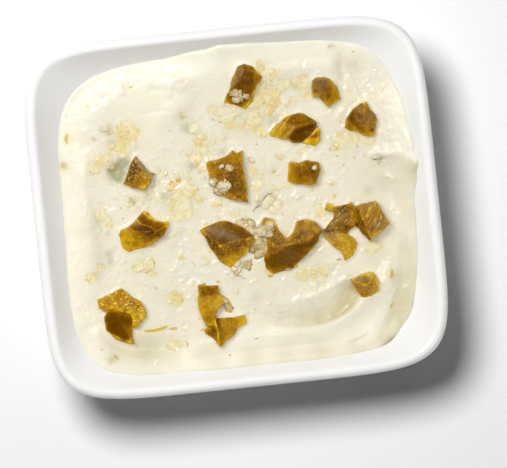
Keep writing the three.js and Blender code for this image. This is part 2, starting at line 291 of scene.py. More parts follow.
@dataclass
class Bowl:
    """The porcelain bowl with its rounded rim and bare foot ring."""

    shape: BowlShape
    finish: Material

    AROUND = 256
    WALL_STEPS = (22, 26)
    RIM_STEPS = 14
    CORNER_CROWDING = 0.5

    def section(self) -> list[Pair]:
        """Points of the section in mm, from under the middle round the rim to the middle inside.

        Returns:
            Half length and height of each point.
        """
        shape, inner = self.shape, self.shape.foot_half - self.shape.foot_width
        turn = [radians(a) for a in (0, 30, 60, 90)]
        bare = shape.foot_round
        foot = [(0.0, shape.foot_recess), (8.0, shape.foot_recess), (16.0, shape.foot_recess)]
        foot += [(inner - bare, shape.foot_recess), (inner - 0.15 * bare, shape.foot_recess - 0.35 * bare)]
        foot += [(inner + bare - bare * cos(a), bare - bare * sin(a)) for a in turn]
        foot += [(shape.foot_half - bare + bare * sin(a), bare - bare * cos(a)) for a in turn]
        start = shape.outside.height_at(shape.foot_half)
        foot += [(shape.foot_half + 0.2, float(start) - 0.7), (shape.foot_half + 0.7, float(start) - 0.1)]
        outer = np.linspace(shape.foot_half + 1.6, shape.outside.end_half, self.WALL_STEPS[0])
        inward = np.linspace(shape.inside.end_half, 18.0, self.WALL_STEPS[1])
        radius, steps = shape.rim_radius, self.RIM_STEPS
        rim = [pi * (i + 1) / steps - shape.wall_lean for i in range(steps - 1)]
        return [
            *foot,
            *((half, float(shape.outside.height_at(half))) for half in outer),
            *((shape.rim_half + radius * cos(a), shape.rim_level + radius * sin(a)) for a in rim),
            *((half, float(shape.inside.height_at(half))) for half in inward),
            (9.0, float(shape.inside.height_at(9.0))),
            (0.0, float(shape.inside.height_at(0.0))),
        ]

    def build(self) -> None:
        """Spins the section, squares the plan and adds the bowl to the scene."""
        form = bmesh.new()
        corners = [form.verts.new((half, 0.0, height)) for half, height in self.section()]
        edges = [form.edges.new(pair) for pair in zip(corners, corners[1:])]
        ops.spin(
            form, geom=corners + edges, cent=(0, 0, 0), axis=(0, 0, 1), angle=tau, steps=self.AROUND,
            use_merge=True,
        )
        ops.remove_doubles(form, verts=form.verts, dist=1e-4)
        for vert in form.verts:
            half = hypot(vert.co.x, vert.co.y)
            if half > 1e-4:
                turn = atan2(vert.co.y, vert.co.x)
                angle = turn + self.CORNER_CROWDING / 4 * sin(4 * turn)
                radius = float(self.shape.plan_radius(half, angle))
                vert.co.x, vert.co.y = radius * cos(angle), radius * sin(angle)
        ops.recalc_face_normals(form, faces=form.faces)
        place_piece("porcelain_bowl", mesh_from(form, "porcelain_bowl"), self.finish, "glaze", "bowl")


# ---- aioli ----


@dataclass(frozen=True)
class SpoonCurve:
    """A smooth curve that the spoon or knife followed, from start to end; places in mm."""

    start: Pair
    middle: Pair
    end: Pair

    def nearest(self, x: Array, y: Array, reach: float) -> tuple[Array, ...]:
        """Where some places lie beside the curve.

        Args:
            x: Places along the length.
            y: Places across.
            reach: How far from the curve places still count, in mm.

        Returns:
            Which places count and, for those, the distance to the left of the curve, the distance
            past its ends and the share of the way along it.
        """
        ends = np.array([self.start, self.middle, self.end])
        near = (x > ends[:, 0].min() - reach) & (x < ends[:, 0].max() + reach)
        near &= (y > ends[:, 1].min() - reach) & (y < ends[:, 1].max() + reach)
        best = np.full(int(near.sum()), np.inf)
        left, past, along = np.zeros_like(best), np.zeros_like(best), np.zeros_like(best)
        for share in np.linspace(0.0, 1.0, 41):
            point = np.array([(1 - share) ** 2, 2 * share * (1 - share), share**2]) @ ends
            ahead = np.array([share - 1, 1 - 2 * share, share]) @ ends
            ahead /= np.hypot(*ahead)
            away = np.stack([x[near] - point[0], y[near] - point[1]])
            distance = np.hypot(*away)
            closer = distance < best
            best[closer], along[closer] = distance[closer], share
            left[closer] = (ahead[0] * away[1] - ahead[1] * away[0])[closer]
            past[closer] = np.abs(ahead @ away)[closer]
        return near, left, past, along


@dataclass(frozen=True)
class SpoonMark(SpoonCurve):
    """A furrow or ridge along a curve; sizes in mm, heights above the plain surface."""

    half_width: float
    start_height: float
    end_height: float

    def at(self, x: Array, y: Array) -> Array:
        """Height that the mark adds at some places."""
        near, left, past, along = self.nearest(x, y, 3 * self.half_width)
        level = self.start_height + (self.end_height - self.start_height) * along
        added = np.zeros_like(x)
        added[near] = level * np.exp(-((left**2 + past**2) / self.half_width**2))
        return added


@dataclass(frozen=True)
class SpoonStep(SpoonCurve):
    """A hollow to the left of a curve that ends in a steep bank with a small lip on its right."""

    start_depth: float
    end_depth: float
    hollow: float
    bank: float
    lip: float

    def at(self, x: Array, y: Array) -> Array:
        """Height that the step adds at some places."""
        near, left, past, along = self.nearest(x, y, 3 * self.hollow)
        depth = self.start_depth + (self.end_depth - self.start_depth) * along
        down = -depth * np.exp(-((left / self.hollow) ** 2))
        raised = (self.lip + depth) * eased(-left, 0.0, self.bank) - depth
        raised *= np.exp(-((np.maximum(-left - self.bank, 0) / 2.2) ** 2))
        added = np.zeros_like(x)
        added[near] = np.where(left > 0, down, raised) * np.exp(-((past / 2.6) ** 2))
        return added


@dataclass(frozen=True)
class Spot:
    """A round place in mm with a strength."""

    x: float
    y: float
    radius: float
    strength: float

    def at(self, x: Array, y: Array) -> Array:
        """Strength at some places, fading out from the middle."""
        return self.strength * np.exp(-(((x - self.x) ** 2 + (y - self.y) ** 2) / self.radius**2))


@dataclass
class AioliSurface:
    """Height of the spooned surface at any place in the bowl, in mm."""

    shape: BowlShape

    MIDDLE_DEPTH = 3.7
    # Depth of the edge below the middle of the rim, by bearing in degrees round the bowl.
    EDGE_DEPTHS = (
        (-178, 4.3), (-160, 3.6), (-146, 3.2), (-134, 2.4), (-116, 2.6), (-90, 2.4), (-66, 2.2), (-50, 2.6),
        (-40, 3.9), (-30, 4.1), (-18, 3.5), (-4, 2.9), (5, 1.3), (8, 0.2), (12, 1.1), (22, 2.2), (35, 3.6),
        (48, 3), (66, 2.3), (84, 1.2), (90, 0.9), (96, 2), (112, 3.9), (130, 4.5), (150, 4.6), (170, 4.7),
    )
    MARKS = rows_of(
        SpoonMark, 3,
        (31, 36.8, 35, 35.4, 38, 32, 1.3, 0.4, 0.3), (31.5, 33.4, 34, 30.5, 35.5, 27, 1.6, -0.35, -0.2),
        (27, 38.6, 31, 37.6, 34, 37.8, 0.9, 0.3, 0.2), (36.4, 30, 39, 27, 40, 22, 1.5, 0.3, 0.15),
        (-40.5, 13, -41.5, 0, -40.5, -17, 4, 0.9, 0.9), (-35, 31, -15, 33.5, 5, 31.5, 9, 0.6, 0.5),
        (-10, 35.5, 8, 36.5, 27, 34.5, 5.5, 1.1, 1.3), (-12, 28, -17, 25, -20, 21, 3, 0.7, 0.2),
        (31.3, 39, 30.8, 35, 31.2, 30, 1.8, -0.9, -0.5), (38, 34, 36, 31, 35, 28, 3.5, -0.5, -0.2),
        (42, 27, 43.5, 20, 42, 12, 3, 0.5, 0.6), (38, 5, 39, 2, 43, -3, 4, -0.8, -0.9),
        (38.5, 10.2, 43, 9.4, 47.5, 8.6, 1.7, 0.5, 0.8), (7, -27.4, 18, -26.2, 26.8, -21.8, 2.2, 0.3, 0.5),
        (8, -34.2, 27, -34.8, 38.4, -21.5, 2.4, 0.5, 1.2),
        (43.6, -18.5, 43.4, -29, 35.5, -37.2, 2.6, -1, -0.8),
        (-28, -39.2, 0, -39.6, 27, -38.8, 1.9, -0.5, -0.6), (-14, -36, 0, -34.8, 20, -36, 2.2, 0.5, 0.4),
        (-33.5, -33.5, -28, -34.6, -20, -34, 2.8, -0.8, -0.9),
        (-39.5, -29, -39, -38.2, -24, -38, 2.2, 0.7, 0.5),
    )
    STEPS = rows_of(
        SpoonStep, 3,
        (9.5, -31.2, 24, -33.8, 28.6, -25.8, 0.6, 2.1, 4.2, 1.4, 0.3),
        (42.4, -16, 42, -28, 34.2, -37.5, 0.5, 1, 3.6, 2.4, 0.3),
        (48.5, 6.2, 45.5, 7.8, 42, 8.2, 1.2, 0.1, 5, 1.6, 0.3),
        (-37.2, 6, -33.6, -4, -36, -14, 0.12, 0.2, 3, 2.6, 0.05),
    )
    FINE_MARKS = rows_of(
        SpoonMark, 3,
        (-33, 34.4, -26, 35.3, -19, 34.2, 0.7, 0.1, 0.05),
        (-30, 36.6, -18, 37.6, -6, 36.2, 0.9, -0.1, -0.06),
        (-28, 36.2, -22, 36.8, -18, 36, 0.45, -0.12, -0.06),
        (-19, 32.6, -12, 32.2, -9, 30.4, 0.8, -0.1, -0.05),
        (-24, 26.2, -20, 27.3, -15, 26.8, 0.5, -0.1, -0.05),
        (-14.2, 29.8, -13.4, 29, -12.8, 27.9, 0.28, -0.22, -0.22),
        (-37.5, 20, -38.8, 25, -36, 31, 1.3, -0.35, -0.1),
        (12.2, -26.2, 20, -24.8, 26.6, -21.4, 0.7, 0.14, 0.2),
        (10.4, -31.8, 13.5, -31.2, 17.6, -31.5, 0.32, 0.3, 0.3),
        (31.4, 38.6, 30.7, 35, 31.3, 31, 0.8, -0.45, -0.3),
        (32.4, 30.9, 33.8, 29, 34.6, 26.2, 0.4, 0.3, 0.4), (27.5, 38.8, 30, 38.2, 31.5, 37, 0.5, 0.3, 0.2),
        (34, -38.6, 37, -37.6, 40, -35, 1, 0.35, 0.3), (-22, -36.6, -29, -38.4, -36.6, -33, 0.6, 0.25, 0.3),
        (-34.8, -33.8, -32, -35.3, -27.5, -35.2, 0.35, 0.2, 0.16),
        (-12, -34.2, 2, -33.6, 16, -34.4, 0.7, 0.22, 0.16),
        (-8, -37.4, 8, -37.8, 24, -37, 0.8, -0.2, -0.25),
        (22.5, -37.8, 26.5, -37.6, 30.2, -35.9, 0.4, 0.3, 0.35),
        (-44, 12, -43, 2, -43.6, -10, 0.9, 0.25, 0.2), (12, 36, 20, 37.4, 27, 36.2, 1.2, -0.25, -0.3),
        (-1.5, -27, 0.5, -27.1, 2.2, -27.6, 0.3, 0.3, 0.3),
        (36.2, 9.8, 38, 10.6, 40.3, 9.6, 0.7, 0.32, 0.22),
        (36.8, 8.4, 38, 8.2, 39.4, 8.6, 0.45, -0.22, -0.18),
        (-21.6, -30.4, -21.8, -32, -20.6, -33.2, 0.4, -0.3, -0.25),
        (24.4, -17.6, 24, -18.3, 23.3, -19.2, 0.35, -0.35, -0.3),
        (-36.6, 1.2, -35.4, -0.4, -35, -2.4, 0.4, -0.3, -0.35),
    )
    # Small crests and drops that stand out of the cream and catch the light.
    CRESTS = (
        (-33.5, 31), (-31.5, 32.8), (-27.5, 32.5), (-28.8, 30.6), (-11.5, 34.6), (-9.6, 33.2), (-7.5, 31.4),
        (-26.5, 25.8), (-28, 25.2), (-43.6, 14), (-42.6, 11.4), (-42.6, -7), (-42, -8.6), (-43.2, -10.4),
        (-42.8, -17), (-41.6, -19), (-43, -21), (-42.2, -22.6), (-41, -23.6), (15.2, 26.6), (15.9, 25.9),
        (17, 27.6), (14.7, 13.4), (31.6, 28.4), (32, 27.4), (33.2, 30.6), (34.4, 27.2), (42.8, 12),
        (43.6, 10.6), (40.4, 4), (41.2, 2.8), (42.4, 3.4), (43.4, 2.4), (15.6, 1.8), (16.2, 0.8), (20.6, 0),
        (18.4, 3.2), (10.8, -6.8), (11.6, -7.6), (20.8, -13.2), (-4.2, -16.6), (2.3, -17.4), (17.6, -20.6),
        (17.9, -22), (18.6, -22.8), (16.8, -25.4), (18.8, -25.2), (22.8, -25), (6, -27.8), (7.4, -28.2),
        (8.8, -28), (10.4, -27.6), (7.6, -29.4), (13.2, -25.2), (38, -24.6), (38.8, -25.4), (33.8, -33.2),
        (-28.8, -38.2), (-29.6, -38.8), (-24.8, -37.6), (-20, -37.4), (-19.2, -29.4), (-14.3, -21.8),
        (-15.4, -12.8), (-15.9, -15.8), (-12.2, -15.4), (-11.2, -14.2), (-7.2, -13.8), (-19.6, 5.2),
        (-30.8, 6), (-20.8, 5.8), (-13, 8), (-38.8, 4.8), (-36.2, 1), (2.6, -34.8), (-17, 17.2),
        (19.6, 32.4),
    )

    def edge_depth(self, angle: Array) -> Array:
        """Depth of the edge below the middle of the rim, eased between the listed bearings.

        Args:
            angle: Directions in radians.

        Returns:
            Depths in mm.
        """
        bearings, depths = (np.array(row, float) for row in zip(*self.EDGE_DEPTHS))
        bearings = np.append(bearings, bearings[0] + 360)
        depths = np.append(depths, depths[0])
        turned = (np.degrees(angle) - bearings[0]) % 360 + bearings[0]
        step = np.clip(np.searchsorted(bearings, turned, side="right") - 1, 0, len(bearings) - 2)
        share = eased((turned - bearings[step]) / (bearings[step + 1] - bearings[step]), 0.0, 1.0)
        return depths[step] + (depths[step + 1] - depths[step]) * share

    def edge_half(self, angle: Array, sunk: float = 0.0) -> Array:
        """Half length of the plan where the edge meets the wall, or a little lower."""
        return self.shape.inside.half_at(self.shape.rim_level - self.edge_depth(angle) - sunk)

    def hollows(self, x: Array, y: Array) -> Array:
        """Height that the spoon's steps add, mostly below zero."""
        return total(self.STEPS, x, y)

    def height(self, x: Array, y: Array) -> Array:
        """Height of the surface.

        Args:
            x: Places along the length.
            y: Places across.

        Returns:
            Heights in mm.
        """
        angle = np.arctan2(y, x)
        reach = np.hypot(x, y) / self.shape.plan_radius(self.edge_half(angle, 0.5), angle)
        relief = total(self.MARKS + self.FINE_MARKS, x, y) + self.hollows(x, y)
        at_edge = eased(reach, 0.84, 1.0)
        depth = (self.MIDDLE_DEPTH - relief) * (1 - at_edge) + self.edge_depth(angle) * at_edge
        return self.shape.rim_level - depth


@dataclass
class Aioli:
    """The aioli: one closed body with the spooned surface, small crests and pits, and a soft edge."""

    surface: AioliSurface
    finish: Material

    CELLS = 296
    EDGE_LIP = 0.45
    WALL_CLEARANCE = 0.25
    SKIRT_SHARES = (0.985, 0.95, 0.88, 0.78, 0.66, 0.52)
    STROKES = 520
    LOOSE_CRESTS = 330
    STROKE_LENGTHS = (0.2, 0.6, 1.4, 2.4)
    # Half widths of the crests that the surface lists, and of the loose ones.
    CREST_WIDTHS = ((0.34, 0.52), (0.24, 0.4))
    # Parts of the body above this level belong to the surface that is seen.
    SEEN_LEVEL = 20
    # Smears that the spoon left clean.
    SMEARS = rows_of(Spot, 0, (-20, 29, 10, 1), (-4, 31, 5, 0.9), (22, -27, 5, 0.9), (14, -29.4, 4, 0.8))
    # Places where a sunk bit of olive shows through the cream.
    SUNK_OLIVE = rows_of(
        Spot, 0,
        (-30.6, 12, 1.9, 0.9), (-29, 13.4, 2, 0.9), (-27.8, 14.8, 1.7, 0.8), (-29.2, 10.6, 1.5, 0.7),
        (36.8, -39.2, 1.5, 1), (38.2, -38.4, 1.2, 0.9), (35, -39.7, 1.1, 0.6), (-10.4, 12, 1.4, 0.5),
        (-10, 21.8, 1.7, 0.55), (-11.6, 22.2, 1.2, 0.35), (-18.2, 4.8, 1.5, 0.45), (11.8, 21.4, 1.9, 0.45),
        (-34.4, -8.6, 0.9, 0.5), (-34.2, -10.4, 0.9, 0.5), (-34, -3.2, 0.8, 0.4), (-30.6, 20.2, 1.5, 0.35),
        (-2, 14.4, 1.4, 0.4), (38.6, 3, 2.2, 0.15), (34.6, 0.8, 1.4, 0.35), (2.6, -24.2, 1.6, 0.18),
        (6, 0.6, 1, 0.5),
    )
    # Places where oil or garlic juice makes the cream yellower and clearer.
    WET = rows_of(
        Spot, 0,
        (11.5, 33, 3.2, 0.5), (15.5, 30.4, 2.2, 0.4), (9.5, 26.5, 4, 0.6), (3.5, 22.5, 3.6, 0.6),
        (6.6, 21.8, 3, 0.5), (8.2, 18.8, 2, 0.4), (0.2, 23.6, 3, 0.35), (-6.6, 17, 3, 0.5),
        (-9.2, 13.8, 2.4, 0.45), (-13.5, 4.5, 4.6, 0.5), (-14.4, 2, 4, 0.4), (-26.2, 21.4, 4, 0.6),
        (-27.4, 17.6, 2.2, 0.4), (-33.8, 15.2, 3.6, 0.45), (-35.2, 1.2, 3, 0.4), (-25.4, -12.6, 3.6, 0.4),
        (-39.8, -14.2, 2.6, 0.25), (30.2, 14.6, 3.6, 0.5), (36.4, 13.6, 1.6, 0.4), (17.6, -19, 4.2, 0.4),
        (-18.2, -21.4, 2.8, 0.3), (20.2, 29.4, 3.4, 0.45), (32, 27, 3, 0.25), (38.4, -21.4, 2.2, 0.5),
        (5.4, 6.6, 3.2, 0.5), (22.4, -3, 2.4, 0.4), (34.6, -13.8, 2.4, 0.3), (-22, 6.2, 2.4, 0.3),
        (-26.4, 4.6, 1.8, 0.4), (9.6, 1, 3.4, 0.3), (-19.6, -34.2, 3, 0.3), (-35.4, -35.6, 1.6, 0.35),
        (-43.6, 15.2, 1.8, 0.4), (-41.8, 22.6, 1.4, 0.4), (37.6, -29.4, 1.4, 0.4), (-24, 34, 1.2, 0.35),
        (-11.6, 25, 1.8, 0.45), (4.4, -16.6, 3, 0.3), (6.4, -26.6, 4, 0.15),
    )
    # Places where olive juice has browned the cream.
    SMUDGES = rows_of(
        Spot, 0,
        (-30.4, 13.7, 1.3, 0.9), (-31.9, 13.1, 0.9, 0.6), (-32.6, 23.6, 0.9, 0.6), (-31, 23.2, 0.9, 0.7),
        (-30.4, 22.6, 0.6, 0.6), (-35, 21.6, 0.8, 0.4), (8.4, 2, 1.2, 0.5), (9.6, 1.2, 0.9, 0.5),
        (6.6, 0.2, 1, 0.5), (37.9, 8.4, 1.3, 0.4), (-43.8, 15.4, 1, 0.8), (-11.6, 25, 0.8, 0.5),
        (-9, 12.2, 0.9, 0.4), (-22.6, 5.2, 0.9, 0.4), (-26.6, 4.4, 1.1, 0.6), (36.6, -39, 1.3, 0.5),
        (4.9, 11.8, 0.9, 0.6), (28.8, 39.2, 0.9, 0.5), (-36.6, -36.2, 1.2, 0.5), (10.4, 8.2, 0.9, 0.5),
        (-1.4, -17.4, 1.2, 0.35),
    )
    # Places where the cream is painted darker and yellower: painted shade in the hollows, along the walls and
    # towards the lower right, where the cream also lies deep.
    DEEP_AND_PAINTED_SHADE = rows_of(
        Spot, 0,
        (45, -6, 4.5, 0.35), (43, -14, 3.5, 0.25), (39.5, 3, 4.5, 0.28), (46.8, 4, 2.2, 0.35),
        (41.5, -28, 4, 0.5), (38.5, -33, 3.5, 0.5), (44, -22, 3, 0.4), (22.4, -30.2, 1.7, 0.35),
        (18.2, -30.8, 1.8, 0.42), (14.2, -30.4, 1.8, 0.38), (25.8, -28.2, 2.3, 0.7), (-12, -34.5, 4, 0.25),
        (-27, -34.5, 5, 0.75), (-35, -33, 4, 0.4), (0, -39.6, 3.4, 0.4), (9, -39.6, 3.4, 0.4),
        (18, -39.8, 3.6, 0.5), (28, -39, 3.8, 0.5), (-9, -39.2, 3.4, 0.3), (35, -16.5, 3, 0.2),
        (34, 33, 3, 0.25), (-38, -2, 3.5, 0.2), (-36, -10, 3.5, 0.2), (31, 38, 2.5, 0.25),
    )

    @classmethod
    def smoothness(cls, x: Array, y: Array) -> Array:
        """How little crumb lies in the cream.

        Args:
            x: Places along the length.
            y: Places across.

        Returns:
            Numbers from 1 on the clean smears to 0 in the busy middle.
        """
        left = eased(-x, 22.0, 42.0) * 0.45
        top = eased(y, 31.0, 39.0) * 0.9
        smears = [smear.at(x, y) for smear in cls.SMEARS]
        low = eased(-y, 27.0, 33.0) * 0.85
        side = eased(x, 40.0, 45.0) * 0.55
        return np.clip(np.maximum.reduce([left, top, *smears, low, side]), 0.0, 1.0)

    @classmethod
    def smoothness_at(cls, x: float, y: float) -> float:
        """How little crumb lies in the cream at one place."""
        return float(cls.smoothness(np.array([x]), np.array([y]))[0])

    def scattered_marks(self) -> list[SpoonMark]:
        """Strokes, pits and lumps that the stirring left in the busy parts.

        Returns:
            The marks.
        """
        scatter, marks = Random(7), []
        draw = scatter.uniform
        for _ in range(self.STROKES):
            x, y = draw(-42, 43), draw(-38, 38)
            long = scatter.choice(self.STROKE_LENGTHS) * draw(0.6, 1.2)
            wide = draw(0.34, 0.8)
            lift = scatter.choice((-1.0, -1.0, 1.0)) * wide * draw(0.08, 0.28)
            if scatter.random() > self.smoothness_at(x, y):
                marks.append(self.stroke(x, y, draw(0, 180), long, wide, lift, scatter))
        crests = list(self.surface.CRESTS)
        crests += [(draw(-42, 43), draw(-37, 37)) for _ in range(self.LOOSE_CRESTS)]
        for number, (x, y) in enumerate(crests):
            listed = number < len(self.surface.CRESTS)
            long = draw(0.3, 1.5)
            wide = draw(*self.CREST_WIDTHS[0 if listed else 1])
            if listed or scatter.random() > 0.2 + self.smoothness_at(x, y):
                lift = wide * (0.46 - 0.3 * self.smoothness_at(x, y))
                marks.append(self.stroke(x, y, scatter.gauss(40, 40), long, wide, lift, scatter))
        return marks

    @staticmethod
    def stroke(
        x: float, y: float, bearing: float, long: float, wide: float, lift: float, scatter: Random
    ) -> SpoonMark:
        """One short, slightly bent stroke.

        Args:
            x: Place of its middle along the length.
            y: Place of its middle across.
            bearing: Its direction in degrees.
            long: Its length.
            wide: Its half width.
            lift: Its height at the start, below zero for a furrow.
            scatter: Source of its bend and of its height at the end.

        Returns:
            The stroke.
        """
        turn, bend = radians(bearing), scatter.uniform(-0.4, 0.4) * long
        ahead, aside = (cos(turn), sin(turn)), (-sin(turn), cos(turn))
        start = (x - ahead[0] * long / 2, y - ahead[1] * long / 2)
        end = (x + ahead[0] * long / 2 + 0.01, y + ahead[1] * long / 2)
        middle = (x + aside[0] * bend, y + aside[1] * bend)
        return SpoonMark(start, middle, end, wide, lift, lift * scatter.uniform(0.3, 1.0))

    def crumb_relief(self, x: Array, y: Array, bits: list[Spot]) -> Array:
        """Small lumps, pits and waves in the cream, in mm.

        Args:
            x: Places along the length.
            y: Places across.
            bits: Places of garlic chips, where the cream lies flatter and lower.

        Returns:
            Heights to add.
        """
        flat = np.column_stack([x, y, np.zeros_like(x)])
        busy = 1 - self.smoothness(x, y)
        relief = 0.16 * unevenness(flat, 9.0, 2, 3.1) + (0.03 + 0.1 * busy) * unevenness(flat, 3.6, 2, 11.7)
        relief += (0.005 + 0.025 * busy) * unevenness(flat, 1.2, 2, 23.9)
        strokes = total(self.scattered_marks(), x, y)
        chips = np.clip(total(bits, x, y), 0, 1)
        return relief * (1 - 0.55 * chips) - 0.04 * chips + strokes * (1 - 0.7 * chips)

    def build(self, olives: Trees, bits: list[Spot]) -> BVHTree:
        """Makes the body and adds it to the scene.

        Args:
            olives: Search trees of the chopped olives, so that the cream can creep up them.
            bits: Places of garlic chips.

        Returns:
            Search tree of the finished surface.
        """
        form = bmesh.new()
        ops.create_grid(form, x_segments=self.CELLS, y_segments=self.CELLS, size=1.0)
        form.verts.ensure_lookup_table()
        square = each(form.verts, "co")
        shape = self.surface.shape
        share = np.abs(square[:, :2]).max(axis=1)
        angle = np.arctan2(square[:, 1] * shape.width / shape.length, square[:, 0])
        radius = shape.plan_radius(self.surface.edge_half(angle), angle)
        x, y = share * radius * np.cos(angle), share * radius * np.sin(angle)
        inset = (1 - share) * radius
        height = self.surface.height(x, y)
        height += self.crumb_relief(x, y, bits) * eased(inset, 0.0, 2.0)
        height += self.creep(x, y, height, olives)
        lip = self.EDGE_LIP * (0.7 + 0.6 * unevenness(np.column_stack([x, y, 0 * x]), 7.0, 1, 5.0))
        height -= np.clip(lip, 0.1, 0.8) * np.exp(-((inset / 0.55) ** 2))
        for vert, place in zip(form.verts, np.column_stack([x, y, height])):
            vert.co = place
        self.close_below(form)
        ops.recalc_face_normals(form, faces=form.faces)
        tree = BVHTree.FromBMesh(form)
        mesh = mesh_from(form, "spooned_aioli")
        self.stain_and_paint_shade(mesh)
        place_piece("spooned_aioli", mesh, self.finish, "aioli", "aioli")
        return tree

    def stain_and_paint_shade(self, mesh: Mesh) -> None:
        """Keeps on the mesh where the cream is wet or over a sunk olive, and the painted shade of its
        hollows.
        """
        places = coordinates(mesh) / MM
        x, y, top = places[:, 0], places[:, 1], places[:, 2] > self.SEEN_LEVEL
        stains = {"sunk_olive": self.SUNK_OLIVE, "wet_cream": self.WET, "smudge": self.SMUDGES}
        for name, spots in stains.items():
            set_attribute(mesh, name, np.clip(total(spots, x, y), 0, 1) * top)
        # Painted shade: darker, yellower cream in the listed spots and where the spoon's steps dig down.
        hollow = total(self.DEEP_AND_PAINTED_SHADE, x, y) - self.surface.hollows(x, y) / 2.2
        set_attribute(mesh, "hollow", np.clip(hollow, 0, 1) * top)
        set_attribute(mesh, "clean", self.smoothness(x, y) * top)

    @staticmethod
    def creep(x: Array, y: Array, height: Array, olives: Trees) -> Array:
        """How far the cream creeps up the chopped olives.

        Args:
            x: Places along the length.
            y: Places across.
            height: Surface before creeping.
            olives: Search trees of the olives.

        Returns:
            Heights to add.
        """
        added = np.zeros_like(x)
        for index, place in enumerate(zip(x, y, height)):
            distances = [tree.find_nearest(Vector(place), 1.5)[3] for tree in olives]
            found = [distance for distance in distances if distance is not None]
            if len(found) == 1 or (len(found) == 2 and max(found) - min(found) > 0.6):
                added[index] = 0.3 * exp(-((min(found) / 0.5) ** 2))
        return added

    def close_below(self, form: Form) -> None:
        """Carries the surface's edge down the wall and across the floor, clear of the bowl.

        Args:
            form: The open surface, which is closed.
        """
        shape = self.surface.shape
        edges = [edge for edge in form.edges if edge.is_boundary]
        for share in self.SKIRT_SHARES:
            edges = only(Edge, ops.extrude_edge_only(form, edges=edges)["geom"])
            for vert in {vert for edge in edges for vert in edge.verts}:
                angle = atan2(vert.co.y, vert.co.x)
                half = share * float(self.surface.edge_half(np.array([angle]))[0])
                radius = float(shape.plan_radius(half, angle))
                rise = float(shape.inside.height_at(half)) + self.WALL_CLEARANCE
                vert.co = (radius * cos(angle), radius * sin(angle), rise)
        ops.edgeloop_fill(form, edges=edges)


# ---- chopped olives ----


@dataclass(frozen=True)
class CutFace:
    """A knife cut that starts along a line and falls away to the left of it.

    The line's ends are places in mm, its height counts from the cream and the fall is in degrees. The tone
    runs from 0, dark skin, to 1, clear yellow edge; grain is how rough the pulp is; the grey share is how
    much a painted sheen, partly a thin milky coat, greys it; fibres run in the bearing given.
    """

    start: Pair
    end: Pair
    height: float
    fall: float
    tone: float
    grain: float = 0.9
    film: float = 0.0
    fibres: float | None = None

    @property
    def normal(self) -> Vector:
        """Direction that the cut faces."""
        along, slope = Vector(self.end) - Vector(self.start), radians(self.fall)
        along.normalize()
        return Vector((-along.y * sin(slope), along.x * sin(slope), cos(slope)))


@dataclass(frozen=True)
class OlivePiece:
    """One chopped piece: the face that its cuts leave, the cuts, spots, grey spots of painted sheen and
    lines.

    Cuts, spots and lines are given as plain rows of numbers. A line above zero is a pale ridge, a painted
    highlight along it; one below zero a dark crease or seam, painted shade.
    """

    tone: float
    grain: float
    cuts: tuple[CutFace, ...] = ()
    spots: tuple[Spot, ...] = ()
    films: tuple[Spot, ...] = ()
    lines: tuple[SpoonMark, ...] = ()
    fringe: float = 0.34
    ridges: float = 0.2
    specks: float = 0.15

    def __post_init__(self) -> None:
        """Turns the plain rows of numbers into cuts, spots and lines."""
        kinds = {"cuts": (CutFace, 2), "spots": (Spot, 0), "films": (Spot, 0), "lines": (SpoonMark, 3)}
        for name, (kind, pairs) in kinds.items():
            object.__setattr__(self, name, rows_of(kind, pairs, *getattr(self, name)))


